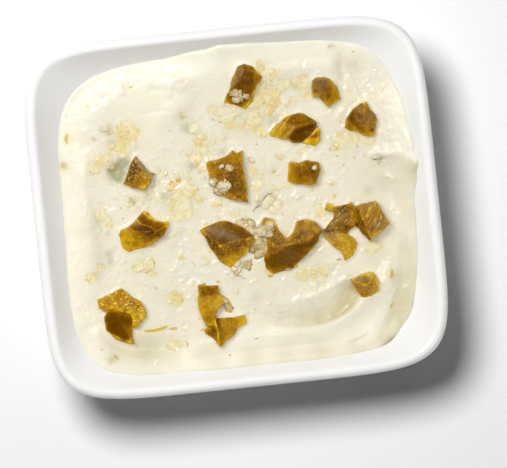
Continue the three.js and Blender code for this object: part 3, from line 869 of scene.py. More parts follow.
@dataclass
class ChoppedOlives:
    """The nineteen pieces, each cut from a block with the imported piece's outline, with skin and pulp."""

    finish: Material

    VOXEL = 0.2
    SUNK = 2.2
    SIDE_TONE = 0.5
    LOWEST = 0.6
    TOUCH = 0.9
    DOME = 0.012
    CUT_ROUNDING = 0.24
    SPREAD_ROUNDS = 4
    PIECES = (
        OlivePiece(0.12, 0.3, cuts=((8.8, 30.6, 1.3, 31, 2.3, 16, 0.18, 0.6),
            (1.9, 31.3, 4.6, 36.6, 2.2, 28, 0.26, 0.7, 0.2), (10.1, 34, 6.6, 27, 2.1, 34, 0.3, 0.5),
            (5, 37.6, 9.4, 36, 2.1, 30, 0.22, 0.5)), spots=((-0.2, 27.6, 1.6, 0.4), (5.2, 25.8, 1.4, 0.3),
            (5.6, 33.4, 2.2, -0.08)), films=((2.2, 32.4, 1, 0.4), (3.6, 35.4, 1, 0.35)),
            lines=((8.9, 35.4, 9.6, 33, 7.9, 29.4, 0.45, 0.14, 0.2),
            (2.2, 31.6, 3, 34.2, 5, 36.6, 0.35, 0.12, 0.12),
            (7.9, 29.4, 6.9, 28, 5.6, 26.4, 0.3, 0.3, 0.3))),
        OlivePiece(0.2, 0.3, fringe=0.4, cuts=((28, 30.4, 27.2, 23.4, 1.8, 17, 0.36, 0.7),
            (22.6, 30, 29.4, 29.3, 1.8, 12, 0.22, 0.5, 0.15)), spots=((22.9, 26.8, 0.9, 0.5),
            (26.4, 24, 1.2, 0.25), (25.6, 27.2, 1.4, -0.08)), films=((25.4, 30.6, 1.6, 0.4),),
            lines=((28.8, 28.6, 28.2, 26.8, 26.8, 24.6, 0.24, 0.16, 0.12),)),
        OlivePiece(0.16, 0.4, specks=0.2, cuts=((36.1, 24.2, 35.5, 14.6, 2.1, 14, 0.32, 0.8, 0.15),
            (38.4, 15.6, 30.4, 16.5, 1.7, 20, 0.34, 0.8)), spots=((37.2, 16.4, 0.4, -0.9),
            (36.6, 15.4, 1.2, 0.2), (31.4, 17.6, 1, 0.2), (33, 19.7, 1.9, -0.2)),
            films=((37.4, 20.4, 1.2, 0.3), (34.4, 23, 0.8, 0.3)),
            lines=((36.1, 23.8, 35.2, 20.4, 35.8, 16.4, 0.26, 0.34, 0.12),
            (31.6, 21.6, 33.2, 23, 35.4, 23.9, 0.4, 0.3, 0.2))),
        OlivePiece(0.24, 0.8, specks=0.45, cuts=((15.8, 15.4, 15, 22.8, 2.2, 14, 0.52, 0.8, 0.1, 55),
            (23.4, 18.6, 15, 16.4, 2, 26, 0.03, 0.3), (15.2, 21.4, 22.8, 21.6, 2, 22, 0.2, 0.5)),
            spots=((11.6, 18.6, 1.8, 0.2), (18.4, 19.4, 1.8, 0.06)),
            lines=((13.4, 18.2, 14.4, 20.4, 15.8, 21.8, 0.24, 0.2, 0.3),)),
        OlivePiece(0.36, 0.6, fringe=0.55, cuts=((23.4, 15.6, 18.6, 14.5, 1.2, 22, 0.7, 0.5),),
            spots=((22.2, 16.8, 1.4, -0.4), (20, 15.4, 0.9, 0.5), (23.4, 18.2, 0.6, 0.45),
            (22.6, 14.9, 0.6, 0.4)), lines=((23.5, 18.2, 21.6, 16.8, 20.4, 16.4, 0.3, 0.3, 0.3),)),
        OlivePiece(0.2, 0.5, ridges=0.08, cuts=((17.9, 3.4, 17.2, 10.6, 2.1, 10, 0.4, 0.6),
            (21.8, 10.2, 21, 3.4, 2.1, 24, 0.34, 0.6), (14.2, 10.3, 23, 9.6, 2.1, 26, 0.32, 0.6)),
            spots=((14.4, 8.6, 1.6, 0.2), (14.6, 5.2, 1.4, 0.15), (22.2, 8.6, 0.8, 0.2),
            (19, 7.4, 2.3, -0.2)), lines=((18.2, 9.6, 17.9, 7.4, 18.3, 5.2, 0.2, 0.12, 0.06),)),
        OlivePiece(0.18, 0.8, ridges=0.1, specks=0.35, cuts=((-1.2, 0.6, -1.7, 14.4, 2.2, 8, 0.34, 1),
            (3.3, 15.4, 3, 0.2, 1.9, 40, 0.4, 0.5), (-7, 12.6, 2.6, 13.3, 2, 20, 0.4, 0.8)),
            spots=((-4.6, 2.8, 1.5, 0.4), (-6, 11.8, 1.4, 0.2), (0.4, 14.2, 1.2, 0.15),
            (0.8, 5.6, 2.2, -0.17), (1.1, 8.8, 1.8, -0.14)),
            lines=((2.9, 14.8, 3.1, 8, 3.1, 1, 0.3, 0.3, 0.3),)),
        OlivePiece(0.4, 1.0, specks=0.6, cuts=((-27.4, 8, -24.4, 15.6, 1.9, 30, 0.16, 0.9),
            (-24.6, 15.8, -21, 10.7, 1.6, 40, 0.45, 0.6, 0.7)), spots=((-20.5, 10.8, 1, 0.4),
            (-25.6, 12.4, 2, -0.22), (-23, 7.8, 1.4, 0.12)), films=((-23.6, 14.2, 1, 0.5),
            (-22.4, 12.8, 1, 0.45)), lines=((-28.2, 10, -27, 13, -25.2, 15.8, 0.4, -0.2, -0.2),)),
        OlivePiece(0.46, 0.9, fringe=0.4, ridges=0.0, specks=0.25,
            cuts=((-26, -1.2, -21.2, -4, 2.4, 14, 0.26, 0.3), (-21.4, -4, -17.6, -2.8, 2.4, 14, 0.22, 0.3),
            (-20.2, -4.4, -27.6, -1, 2.5, 17, 0.5, 0.9)), spots=((-29.8, -4.5, 2.2, 0.14),
            (-24.3, 1.4, 0.9, 0.5), (-18.3, -2, 1, 0.5), (-29.7, -7.4, 0.9, 0.2), (-22.8, -4, 1.5, -0.34),
            (-24.8, -2.8, 1.2, -0.26), (-20.8, -4.8, 1.3, -0.26), (-24.2, -5.6, 1.5, -0.14)),
            films=((-27, -1, 1, 0.35),), lines=((-26, -0.3, -25.2, -2.2, -22.4, -2.7, 0.2, 0.4, 0.4),
            (-22.4, -2.7, -21, -4.2, -18.2, -3.2, 0.2, 0.4, 0.4),
            (-23.6, 1.2, -22.4, -1, -18.2, -1.9, 0.45, 0.5, 0.45),
            (-26.4, -2.2, -23.6, -3.7, -20.8, -4.9, 0.6, -0.1, -0.12))),
        OlivePiece(0.16, 0.4, fringe=0.26, ridges=0.0, specks=0.35,
            cuts=((-6.6, -10.1, 3.6, -8.4, 2.7, 7, 0.14, 0.35), (3.6, -8.7, -5.6, -9.8, 2.6, 19, 0.4, 1),
            (-4.2, -14.2, -9.7, -5, 2, 34, 0.26, 0.7)), spots=((-3, -13.4, 2, 0.25), (0.4, -12.2, 1.8, 0.2),
            (-9, -4.9, 1.2, 0.4), (-4.6, -3.2, 1.6, 0.3), (-1.6, -9.6, 1.2, -0.12)),
            films=((-5.6, -5.4, 1.3, 0.6), (-4, -6.2, 1.2, 0.55), (-2.2, -7.4, 1.2, 0.55),
            (-7.4, -5.2, 1, 0.35), (-0.6, -8, 0.8, 0.35)),
            lines=((-9.2, -5.3, -7.2, -7, -5.1, -9.7, 0.22, 0.4, 0.36),
            (-5.1, -9.8, -2.4, -8.4, 3, -8.2, 0.2, 0.36, 0.26),
            (-8.6, -6.6, -6.9, -8.6, -5.3, -11, 0.5, -0.14, -0.1),
            (-4.6, -10.6, -1.5, -9.7, 2.6, -9.3, 0.6, -0.08, -0.12))),
        OlivePiece(0.38, 0.95, ridges=0.0, specks=0.35, cuts=((16.3, -12.2, 6, -11.9, 2.9, 24, 0.19, 0.2),
            (22, -7.9, 15.7, -13, 2.9, 32, 0.22, 0.3), (5.6, -17.8, 9.4, -12, 2.5, 24, 0.26, 0.6),
            (4.5, -9.8, 20.8, -7, 3, 8, 0.41, 1)), spots=((7.2, -3.9, 2.2, 0.35), (9.6, -5, 1.2, 0.25),
            (17.5, -5.3, 1.5, 0.1), (12.3, -8.8, 1.5, 0.12), (6.6, -18, 1.1, 0.5),
            (14.6, -9.6, 2.2, -0.12)), films=((17.6, -7.4, 2, 0.3), (12, -10, 1.5, 0.2),
            (12.6, -13.6, 2.6, 0.14)), lines=((8.6, -10.4, 12.6, -12.3, 20, -8.9, 0.2, 0.22, 0.18),
            (8.6, -10.4, 8.2, -12.2, 7, -13.8, 0.2, 0.24, 0.1),
            (9, -9.6, 13, -11.3, 19, -8.2, 0.5, -0.1, -0.08))),
        OlivePiece(0.5, 1.0, specks=0.6, cuts=((33.8, -12.8, 30.5, -2.2, 2.8, 44, 0.12, 0.5),
            (36.5, -1.2, 35.2, -12, 2.8, 8, 0.38, 1, 0, 55)), spots=((34.4, -5, 1.8, 0.2),
            (36, -8.4, 1.6, -0.12)), films=((36.8, -8, 2.2, 0.4), (33.6, -3.2, 1.5, 0.3),
            (35.6, -3.6, 1.2, 0.25)), lines=((30.6, -4.6, 32, -8, 33.6, -12, 0.25, 0.14, 0.24),
            (34, -11.6, 36.2, -9.8, 38.6, -8, 0.3, 0.1, 0.1),
            (34.6, -9.6, 35.6, -7.2, 37.2, -5.8, 0.35, -0.2, -0.1))),
        OlivePiece(0.3, 0.95, fringe=0.2, specks=0.55,
            cuts=((30.8, -5.6, 24.2, -3.2, 2, 12, 0.22, 1, 0, 45), (25.2, 0.2, 25.4, -6, 1.9, 4, 0.3, 0.9)),
            spots=((23.8, -2.1, 1.5, 0.5), (27.6, -3.4, 1.5, -0.2), (29.6, -1.9, 0.9, 0.3)),
            films=((26.6, -5.2, 1.8, 0.35), (24.4, -7, 1.4, 0.3)),
            lines=((22.6, -8.4, 26, -5.6, 29.8, -4.6, 0.24, 0.2, 0.2),
            (25.2, -3.6, 27.6, -3.2, 29.6, -3.4, 0.5, -0.14, -0.1),
            (24.8, -2.2, 27, -2.2, 29.8, -1.4, 0.3, 0.3, 0.25),
            (22, -8.6, 25, -8.7, 28.6, -8.2, 0.4, -0.25, -0.25))),
        OlivePiece(0.68, 1.0, fringe=0.12, specks=0.55, cuts=((28.6, -8.6, 25.7, -16, 1.5, 14, 0.72, 1),),
            spots=((24, -8.8, 2.2, -0.2),), films=((24, -9.6, 1.8, 0.4), (27, -12, 1.4, 0.2)),
            lines=((22, -8.9, 25, -9.3, 28.6, -8.9, 0.5, -0.3, -0.3),)),
        OlivePiece(0.56, 0.9, fringe=0.4, ridges=0.0, specks=0.35,
            cuts=((34.8, -22.5, 27.6, -22.8, 2.3, 18, 0.46, 0.95, 0.15),
            (27.6, -22.5, 34.8, -22.2, 2.3, 14, 0.42, 0.6, 0.3)), spots=((32.6, -20.4, 1.3, 0.5),
            (34.3, -22.2, 0.9, 0.3), (33.2, -26.2, 1.8, 0.2)), films=((29.9, -22, 0.9, 0.3),
            (33, -25.6, 1.5, 0.25)), lines=((28, -21.8, 29.6, -22.9, 31.2, -23.5, 0.2, 0.4, 0.4),
            (31.2, -23.5, 32.7, -22.8, 33.3, -21.3, 0.2, 0.4, 0.3),
            (28.9, -21.4, 30.6, -22.6, 32, -22, 0.5, -0.08, -0.1),
            (28.3, -21.2, 30.6, -20.6, 33.8, -20.6, 0.4, 0.5, 0.5),
            (34.3, -21.6, 34.8, -23.6, 34.4, -26, 0.4, 0.2, 0.25))),
        OlivePiece(0.1, 0.15, fringe=0.28, ridges=0.0, specks=0.0,
            cuts=((-30.2, -31.4, -37.3, -26.9, 1.6, 26, 0.14, 0.15),
            (-31, -24.6, -31, -31.6, 1.7, 34, 0.2, 0.15)), spots=((-34.6, -26.4, 2, -0.06),
            (-31.2, -28.6, 1.4, 0.14), (-30.8, -31.4, 1, 0.4)),
            lines=((-37, -28, -35, -30.6, -31, -31.8, 0.35, 0.3, 0.5),)),
        OlivePiece(0.54, 1.0, fringe=0.36, specks=1.0, spots=((-27.4, -24.6, 2, 0.12),)),
        OlivePiece(0.36, 0.9, ridges=0.0, specks=0.2, cuts=((-7.9, -36, -8.6, -27.2, 2.1, 20, 0.36, 0.7),
            (-8.4, -27.2, -7.8, -36, 2.1, 8, 0.44, 0.8)), spots=((-1.2, -28.8, 2, 0.35),
            (-5.8, -30.6, 2, 0.1), (-7.6, -28.8, 0.9, -0.15), (-10.4, -31.6, 1.2, -0.15)),
            lines=((-8.7, -28.2, -8, -31, -8, -35.6, 0.2, 0.5, 0.3),
            (-9.7, -28.4, -9.3, -30.8, -8.9, -33.6, 0.7, -0.4, -0.16),
            (-7.7, -28.6, -7.2, -30.8, -7.1, -34, 0.6, -0.34, -0.12))),
        OlivePiece(0.6, 0.8, specks=0.3, cuts=((-13, -20.9, -6, -20.5, 1.7, 20, 0.24, 0.5),),
            spots=((-7, -24.5, 1.2, 0.1), (-10.5, -28.5, 1.6, -0.15), (-8.6, -22.4, 1.4, -0.08)),
            films=((-7.6, -24.8, 1, 0.25),)),
    )

    def cut_block(self, piece: OlivePiece, node: str) -> tuple[Form, float, BVHTree]:
        """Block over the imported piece's underside, cut by the piece's knife cuts.

        Args:
            piece: The piece.
            node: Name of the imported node.

        Returns:
            The cut block in mm, the level of the cream beside it and a search tree of its sides.
        """
        low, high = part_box(node)
        form = bmesh.new()
        form.from_mesh(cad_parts[node].data)
        ops.scale(form, vec=(1 / MM,) * 3, verts=form.verts)
        ops.remove_doubles(form, verts=form.verts, dist=0.002)
        bottom = low.z / MM
        level = bottom + self.SUNK
        upper = [f for f in form.faces if f.normal.z > -0.9 or f.calc_center_median().z > bottom + 0.05]
        ops.delete(form, geom=upper, context="FACES")
        floor = list(form.faces)
        lifted = only(Vert, ops.extrude_face_region(form, geom=floor)["geom"])
        ops.translate(form, vec=(0, 0, high.z / MM - bottom), verts=lifted)
        ops.recalc_face_normals(form, faces=form.faces)
        side_form = form.copy()
        flat = [face for face in side_form.faces if abs(face.normal.z) > 0.5]
        ops.delete(side_form, geom=flat, context="FACES")
        sides = BVHTree.FromBMesh(side_form)
        side_form.free()
        for cut in piece.cuts:
            everything = [*form.verts, *form.edges, *form.faces]
            through = (*cut.start, level + cut.height)
            made = ops.bisect_plane(
                form, geom=everything, dist=1e-5, plane_co=through, plane_no=cut.normal, clear_outer=True
            )
            edges = only(Edge, made["geom_cut"])
            if edges:
                ops.triangle_fill(form, edges=edges, use_beauty=True, normal=cut.normal)
        ops.recalc_face_normals(form, faces=form.faces)
        return form, level, sides

    def even_faces(self, form: Form, name: str) -> Mesh:
        """Mesh in metres with even, fine faces over a closed form in mm, which is freed."""
        coarse = mesh_from(form, name + "_coarse")
        helper = add_object(name + "_coarse", coarse)
        remesh = helper.modifiers.new("even_faces", "REMESH")
        remesh.mode = "VOXEL"
        remesh.voxel_size = self.VOXEL * MM
        evaluated = helper.evaluated_get(bpy.context.evaluated_depsgraph_get())
        fine = bpy.data.meshes.new_from_object(evaluated)
        fine.name = name
        bpy.data.objects.remove(helper)
        bpy.data.meshes.remove(coarse)
        return fine

    def dress(
        self, piece: OlivePiece, mesh: Mesh, level: float, sides: BVHTree, beside: Trees, shift: float
    ) -> None:
        """Rounds the edges, roughens the cuts and keeps the colouring on the mesh.

        Args:
            piece: The piece.
            mesh: Its fine mesh.
            level: Level of the cream beside it in mm.
            sides: Search tree of its upright sides in mm.
            beside: Search trees of the sides of the pieces that it nearly touches.
            shift: Offset that makes its unevenness its own.
        """
        form = bmesh.new()
        form.from_mesh(mesh)
        places = each(form.verts, "co") / MM
        facing = each(form.verts, "normal")
        axes = {"use_axis_" + axis: True for axis in "xyz"}
        for _ in range(2):
            ops.smooth_vert(form, verts=form.verts, factor=0.5, **axes)
        form.normal_update()
        smooth = each(form.verts, "co") / MM
        normals = each(form.verts, "normal")
        count = len(places)
        tone, grain = np.full(count, piece.tone), np.full(count, piece.grain)
        film, ridge = np.zeros(count), np.zeros(count)
        grain_place = smooth.copy()
        below = [(places - (*cut.start, level + cut.height)) @ np.array(cut.normal) for cut in piece.cuts]
        for cut, distance in zip(piece.cuts, below):
            own = (distance > -0.16) & (facing[:, 2] > 0.3)
            tone[own], grain[own], film[own] = cut.tone, cut.grain, cut.film
            if cut.fibres is not None:
                turn = radians(cut.fibres)
                along = smooth[own] @ np.array([cos(turn), sin(turn), 0.0])
                across = smooth[own] @ np.array([-sin(turn), cos(turn), 0.0])
                grain_place[own] = np.column_stack([along / 4.5, across * 1.3, smooth[own][:, 2]])
            ridge = np.maximum(ridge, np.exp(-((distance / self.CUT_ROUNDING) ** 2)) * (distance < -0.06))
        upright = facing[:, 2] < 0.3
        tone[upright], grain[upright], film[upright] = self.SIDE_TONE, 0.7, 0.0
        tone, grain, film = (self.spread(form, values) for values in (tone, grain, film))
        form.free()
        x, y = places[:, 0], places[:, 1]
        edge = np.array([sides.find_nearest(Vector(place))[3] for place in places])
        patchy = 0.75 + 0.9 * unevenness(places, 1.6, 3, shift + 2)
        # The lines paint light and shade: pale ridges are painted highlights, dark creases and seams painted
        # shade.
        wander = [unevenness(places, 2.2, 2, shift + k) for k in (21, 24)]
        bent = places[:, :2] + np.column_stack(wander) * 0.35
        lines = total(piece.lines, *bent.T) * np.clip(0.2 + patchy, 0.4, 1.2)
        tone += total(piece.spots, x, y)
        # The grey spots are painted sheen, partly a thin milky coat of cream.
        film += total(piece.films, x, y)
        fringe = np.exp(-((edge / 0.55) ** 2)) + 0.35 * np.exp(-((edge / 1.5) ** 2))
        tone += piece.fringe * fringe * np.clip(patchy, 0.1, 1.2) * (1 - tone)
        tone += piece.ridges * ridge * np.clip(patchy, 0.3, 1.0) * (1 - tone)
        tone += lines + (0.05 + 0.09 * grain) * unevenness(places, 3.0, 3, shift + 6)
        pulp = unevenness(grain_place, 0.9, 3, shift) * 0.13 + unevenness(places, 2.1, 2, shift + 9) * 0.1
        skin = unevenness(places, 2.6, 2, shift + 4) * 0.08
        push = (pulp * grain + skin * (1 - grain) + 0.3 * lines) * (edge > 0.12)
        middle = smooth[:, :2].mean(axis=0)
        high = eased(smooth[:, 2], level - 0.4, level + 1.2)
        smooth[:, 2] -= self.DOME * high * ((smooth[:, :2] - middle) ** 2).sum(axis=1)
        lowest = level + self.LOWEST + 0.15 * unevenness(places, 2.0, 2, shift + 12)
        sunk = (facing[:, 2] > 0.3) & (smooth[:, 2] < lowest)
        smooth[:, 2] = np.where(sunk, lowest - 0.3 * (lowest - smooth[:, 2]).clip(0, 0.8), smooth[:, 2])
        for axis in (0, 1):
            smooth[:, axis] += 0.28 * high * unevenness(places, 2.6, 2, shift + 15 + 3 * axis)
        for index in np.flatnonzero((edge < 0.7) & (high > 0)):
            place = Vector(places[index])
            hits = [tree.find_nearest(place, self.TOUCH) for tree in beside]
            found = [(hit[3], *(hit[0] - place)) for hit in hits if hit[0] is not None]
            if found:
                smooth[index] += 0.47 * np.array(min(found)[1:]) * high[index] * (1 - edge[index] / 0.7)
        set_coordinates(mesh, (smooth + normals * push[:, None]) * MM)
        specks = np.full(count, piece.specks)
        for name, values in {"tone": tone, "pulp": grain, "film": film, "specks": specks}.items():
            set_attribute(mesh, name, np.clip(values, 0, 1))
        set_attribute(mesh, "grain_place", grain_place)

    @classmethod
    def spread(cls, form: Form, values: Array) -> Array:
        """Softens a value over neighbouring vertices.

        Args:
            form: The mesh whose neighbours count.
            values: One number per vertex.

        Returns:
            The softened numbers.
        """
        form.verts.index_update()
        ends = np.array([[vert.index for vert in edge.verts] for edge in form.edges])
        count = np.bincount(ends.ravel(), minlength=len(values))
        for _ in range(cls.SPREAD_ROUNDS):
            near = np.bincount(ends[:, 0], values[ends[:, 1]], len(values))
            near += np.bincount(ends[:, 1], values[ends[:, 0]], len(values))
            values = 0.4 * values + 0.6 * near / count
        return values

    def near(self, node: str, other: str) -> bool:
        """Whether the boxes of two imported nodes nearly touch."""
        (low, high), (low_2, high_2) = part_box(node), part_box(other)
        reach = self.TOUCH * MM
        return all(low[k] - reach < high_2[k] and low_2[k] - reach < high[k] for k in (0, 1))

    def build(self) -> Trees:
        """Adds all pieces to the scene.

        Returns:
            A search tree of each finished piece in mm.
        """
        nodes = [f"olive_{number:02d}" for number in range(1, len(self.PIECES) + 1)]
        blocks = [self.cut_block(piece, node) for piece, node in zip(self.PIECES, nodes)]
        trees = []
        for number, (piece, node, block) in enumerate(zip(self.PIECES, nodes, blocks), start=1):
            name = "chopped_" + node
            form, level, sides = block
            others = [(other, near) for other, near in zip(nodes, blocks) if other != node]
            beside = [near[2] for other, near in others if self.near(node, other)]
            mesh = self.even_faces(form, name)
            self.dress(piece, mesh, level, sides, beside, 5.3 * number)
            mesh.polygons.foreach_set("use_smooth", [True] * len(mesh.polygons))
            place_piece(name, mesh, self.finish, "olive", node)
            faces = [tuple(face.vertices) for face in mesh.polygons]
            trees.append(BVHTree.FromPolygons([Vector(p) for p in coordinates(mesh) / MM], faces))
        return trees


# ---- garlic and crumbs ----


@dataclass(frozen=True)
class Chunk:
    """A minced bit in mm: place, length, width, bearing in degrees, how high it stands, shade, bend."""

    x: float
    y: float
    length: float
    width: float
    bearing: float
    stand: float
    shade: float
    bend: float = 0.0


@dataclass
class MincedBits:
    """Minced garlic and olive crumbs on the cream's surface, each kind joined into one piece."""

    cream: BVHTree
    garlic_finish: Material
    olive_finish: Material

    SPREAD = 1.32
    CRUMBS = 120
    CORNERS = 6
    # Flat chips that lie nearly flush in the cream.
    CHIPS = rows_of(
        Chunk, 0,
        (10, 36.3, 3.2, 2.5, 88, 0.22, 0.3), (12.4, 33.4, 4.6, 4.2, 70, 0.14, 0.5),
        (15.4, 30.4, 4.6, 2.6, 10, 0.16, 0.6), (13.4, 31.4, 2.9, 2.6, 20, 0.34, 0.1),
        (9, 28.8, 4.4, 3, 75, 0.14, 0.5), (12, 27, 5.6, 3.6, -48, 0.2, 0.6),
        (7.6, 26.4, 3.8, 2.8, 20, 0.22, 0.6), (10.9, 24.3, 3.2, 2.4, 80, 0.24, 0.8),
        (20, 30.6, 4.8, 4, 60, 0.2, 0.3), (20.4, 28, 3, 2.4, -60, 0.14, 0.4),
        (17.4, 26, 2.4, 2, 20, 0.1, 0.4), (-2.8, 25.8, 4.6, 3, -12, 0.18, 0.2),
        (0.2, 23, 4.6, 2.4, 12, 0.12, 0.4), (1, 21.4, 4.8, 1.8, 10, 0.1, 0.6),
        (6.8, 22, 5.6, 3.8, 42, 0.2, 0.7), (8.4, 18.9, 3.6, 3, -40, 0.18, 0.7),
        (14.6, 22.6, 3, 1.8, 30, 0.1, 0.8), (-26.4, 22.2, 6, 5.2, 40, 0.22, 0.6),
        (-27.6, 18.6, 4.6, 3.6, 60, 0.16, 0.7), (-33, 15.8, 5.4, 3, 28, 0.18, 0.5),
        (-35.8, 13.8, 3.2, 2.6, -20, 0.2, 0.5), (-31, 19, 2.6, 2, 30, 0.1, 0.6),
        (-13.2, 4.8, 6.8, 5.6, 60, 0.22, 0.6), (-14.4, 0.4, 6.2, 4.8, -30, 0.2, 0.6),
        (-16, 7.2, 2.6, 2.2, 40, 0.26, 0.9), (-8.6, 21.4, 3.3, 2.9, -10, 0.34, 0.05),
        (-7.4, 16.6, 5, 2.6, -48, 0.2, 0.6), (-7, 19.2, 3.2, 1.4, -10, 0.16, 0.8),
        (-9, 13.9, 3.6, 2.8, 10, 0.16, 0.8), (-7.4, 11.4, 2.6, 2.2, 60, 0.2, 0.3),
        (5.4, 8.6, 3.8, 2.8, 80, 0.08, 0.4), (6.2, 5.4, 4.2, 3.2, 20, 0.1, 0.5),
        (11, 4.2, 3.6, 2, 20, 0.22, 0.1), (8.6, 0.8, 3.6, 2.6, 70, 0.4, 0.05),
        (10.8, -0.4, 3, 2.4, 30, 0.34, 0.15), (9.4, -1.8, 2.6, 2, -30, 0.24, 0.3),
        (-4.9, 1.6, 3, 2.4, 0, 0.16, 0.6), (29.4, 14.6, 5.4, 3, 24, 0.22, 0.5),
        (32.4, 15, 3.8, 2.8, -60, 0.24, 0.5), (27.6, 12.9, 2.4, 1.8, 20, 0.18, 0.8),
        (36.2, 13.5, 4.2, 1.4, 2, 0.08, 0.6), (22.2, -3.4, 3.8, 3.2, -30, 0.14, 0.5),
        (25.2, 0, 3, 1.4, 30, 0.08, 0.4), (15, -19.4, 3.6, 2.6, -20, 0.24, 0.6),
        (18, -18.6, 3.8, 2.9, 20, 0.26, 0.4), (21.2, -18.8, 3.2, 2.8, 60, 0.22, 0.5),
        (20.2, -20.8, 2.4, 1.8, 80, 0.14, 0.6), (34.6, -13.9, 5.2, 2.2, 4, 0.1, 0.6),
        (-35.2, 1.6, 4, 3, 30, 0.2, 0.4), (-33.2, -0.8, 2.8, 2.4, 60, 0.16, 0.3),
        (-26.8, -12.6, 3.6, 3, 20, 0.18, 0.5), (-24, -12.6, 4, 3.6, -60, 0.2, 0.6),
        (-23.6, -14.8, 2.8, 1.6, -20, 0.12, 0.6), (-39.4, -14.4, 4.2, 3.4, 70, 0.1, 0.4),
        (-36.7, -11.9, 3, 2.2, 20, 0.16, 0.5), (-18.1, -21.4, 5.6, 3.8, 10, 0.14, 0.5),
        (-9, -12.4, 3.4, 1.6, -30, 0.14, 0.3), (-1.2, -25.8, 1.8, 1.2, 0, 0.1, 0.4),
        (-19.4, -34, 4.2, 2.6, 10, 0.08, 0.4), (-21.8, 6.4, 2.4, 1.6, 30, 0.12, 0.5),
        (-25, 2.6, 4.6, 1.2, 0, 0.16, 0.1),
    )
    # Rounder lobes that lie on the olives and between them.
    LOBES = rows_of(
        Chunk, 0,
        (3, 29.7, 2.8, 2, -10, 0.5, 0.35), (3.4, 28.4, 2.9, 2.2, 30, 0.55, 0.35),
        (5.6, 28.6, 1.9, 1.7, -30, 0.4, 0.4), (21.2, 8.2, 1.4, 1.1, 10, 0.35, 0.2),
        (-2.6, 5.7, 3.4, 3, 60, 0.6, 0.2), (-5.2, 7.2, 2.2, 1.9, 0, 0.5, 0.2),
        (-4.4, 4.6, 2.2, 1.6, -30, 0.4, 0.3), (-0.6, 10.3, 2.2, 1.7, -40, 0.4, 0.35),
        (-2.7, 11, 1.3, 1, 30, 0.25, 0.3), (1.8, -5, 4.6, 3.2, -22, 0.9, 0.25),
        (3.6, -6.4, 2.4, 2, -50, 0.8, 0.35), (6, -6.9, 3.4, 2.9, 20, 0.9, 0.2),
        (8, -5.9, 2.7, 2.4, 50, 0.8, 0.15), (7.8, -7.7, 2.6, 1.8, 10, 0.8, 0.3),
        (4.4, -8.4, 2.5, 2.2, 70, 0.8, 0.6), (5, -9.8, 3.4, 2.7, 70, 0.9, 0.6),
        (5.9, -11.2, 3, 2.3, -60, 0.9, 0.45), (3.2, -10.4, 3.6, 1.8, 75, 0.8, 0.5),
        (4.7, -12.6, 2.7, 2, 20, 0.7, 0.5), (-1.4, -15.3, 3.4, 3, 70, 0.45, 0.15),
        (1.4, -15.2, 2.8, 2.2, 80, 0.35, 0.5), (-4.9, -25.6, 2.6, 1.7, -52, 0.4, 0.4),
        (38, 9.3, 2.6, 0.9, 8, 0.25, 0),
    )
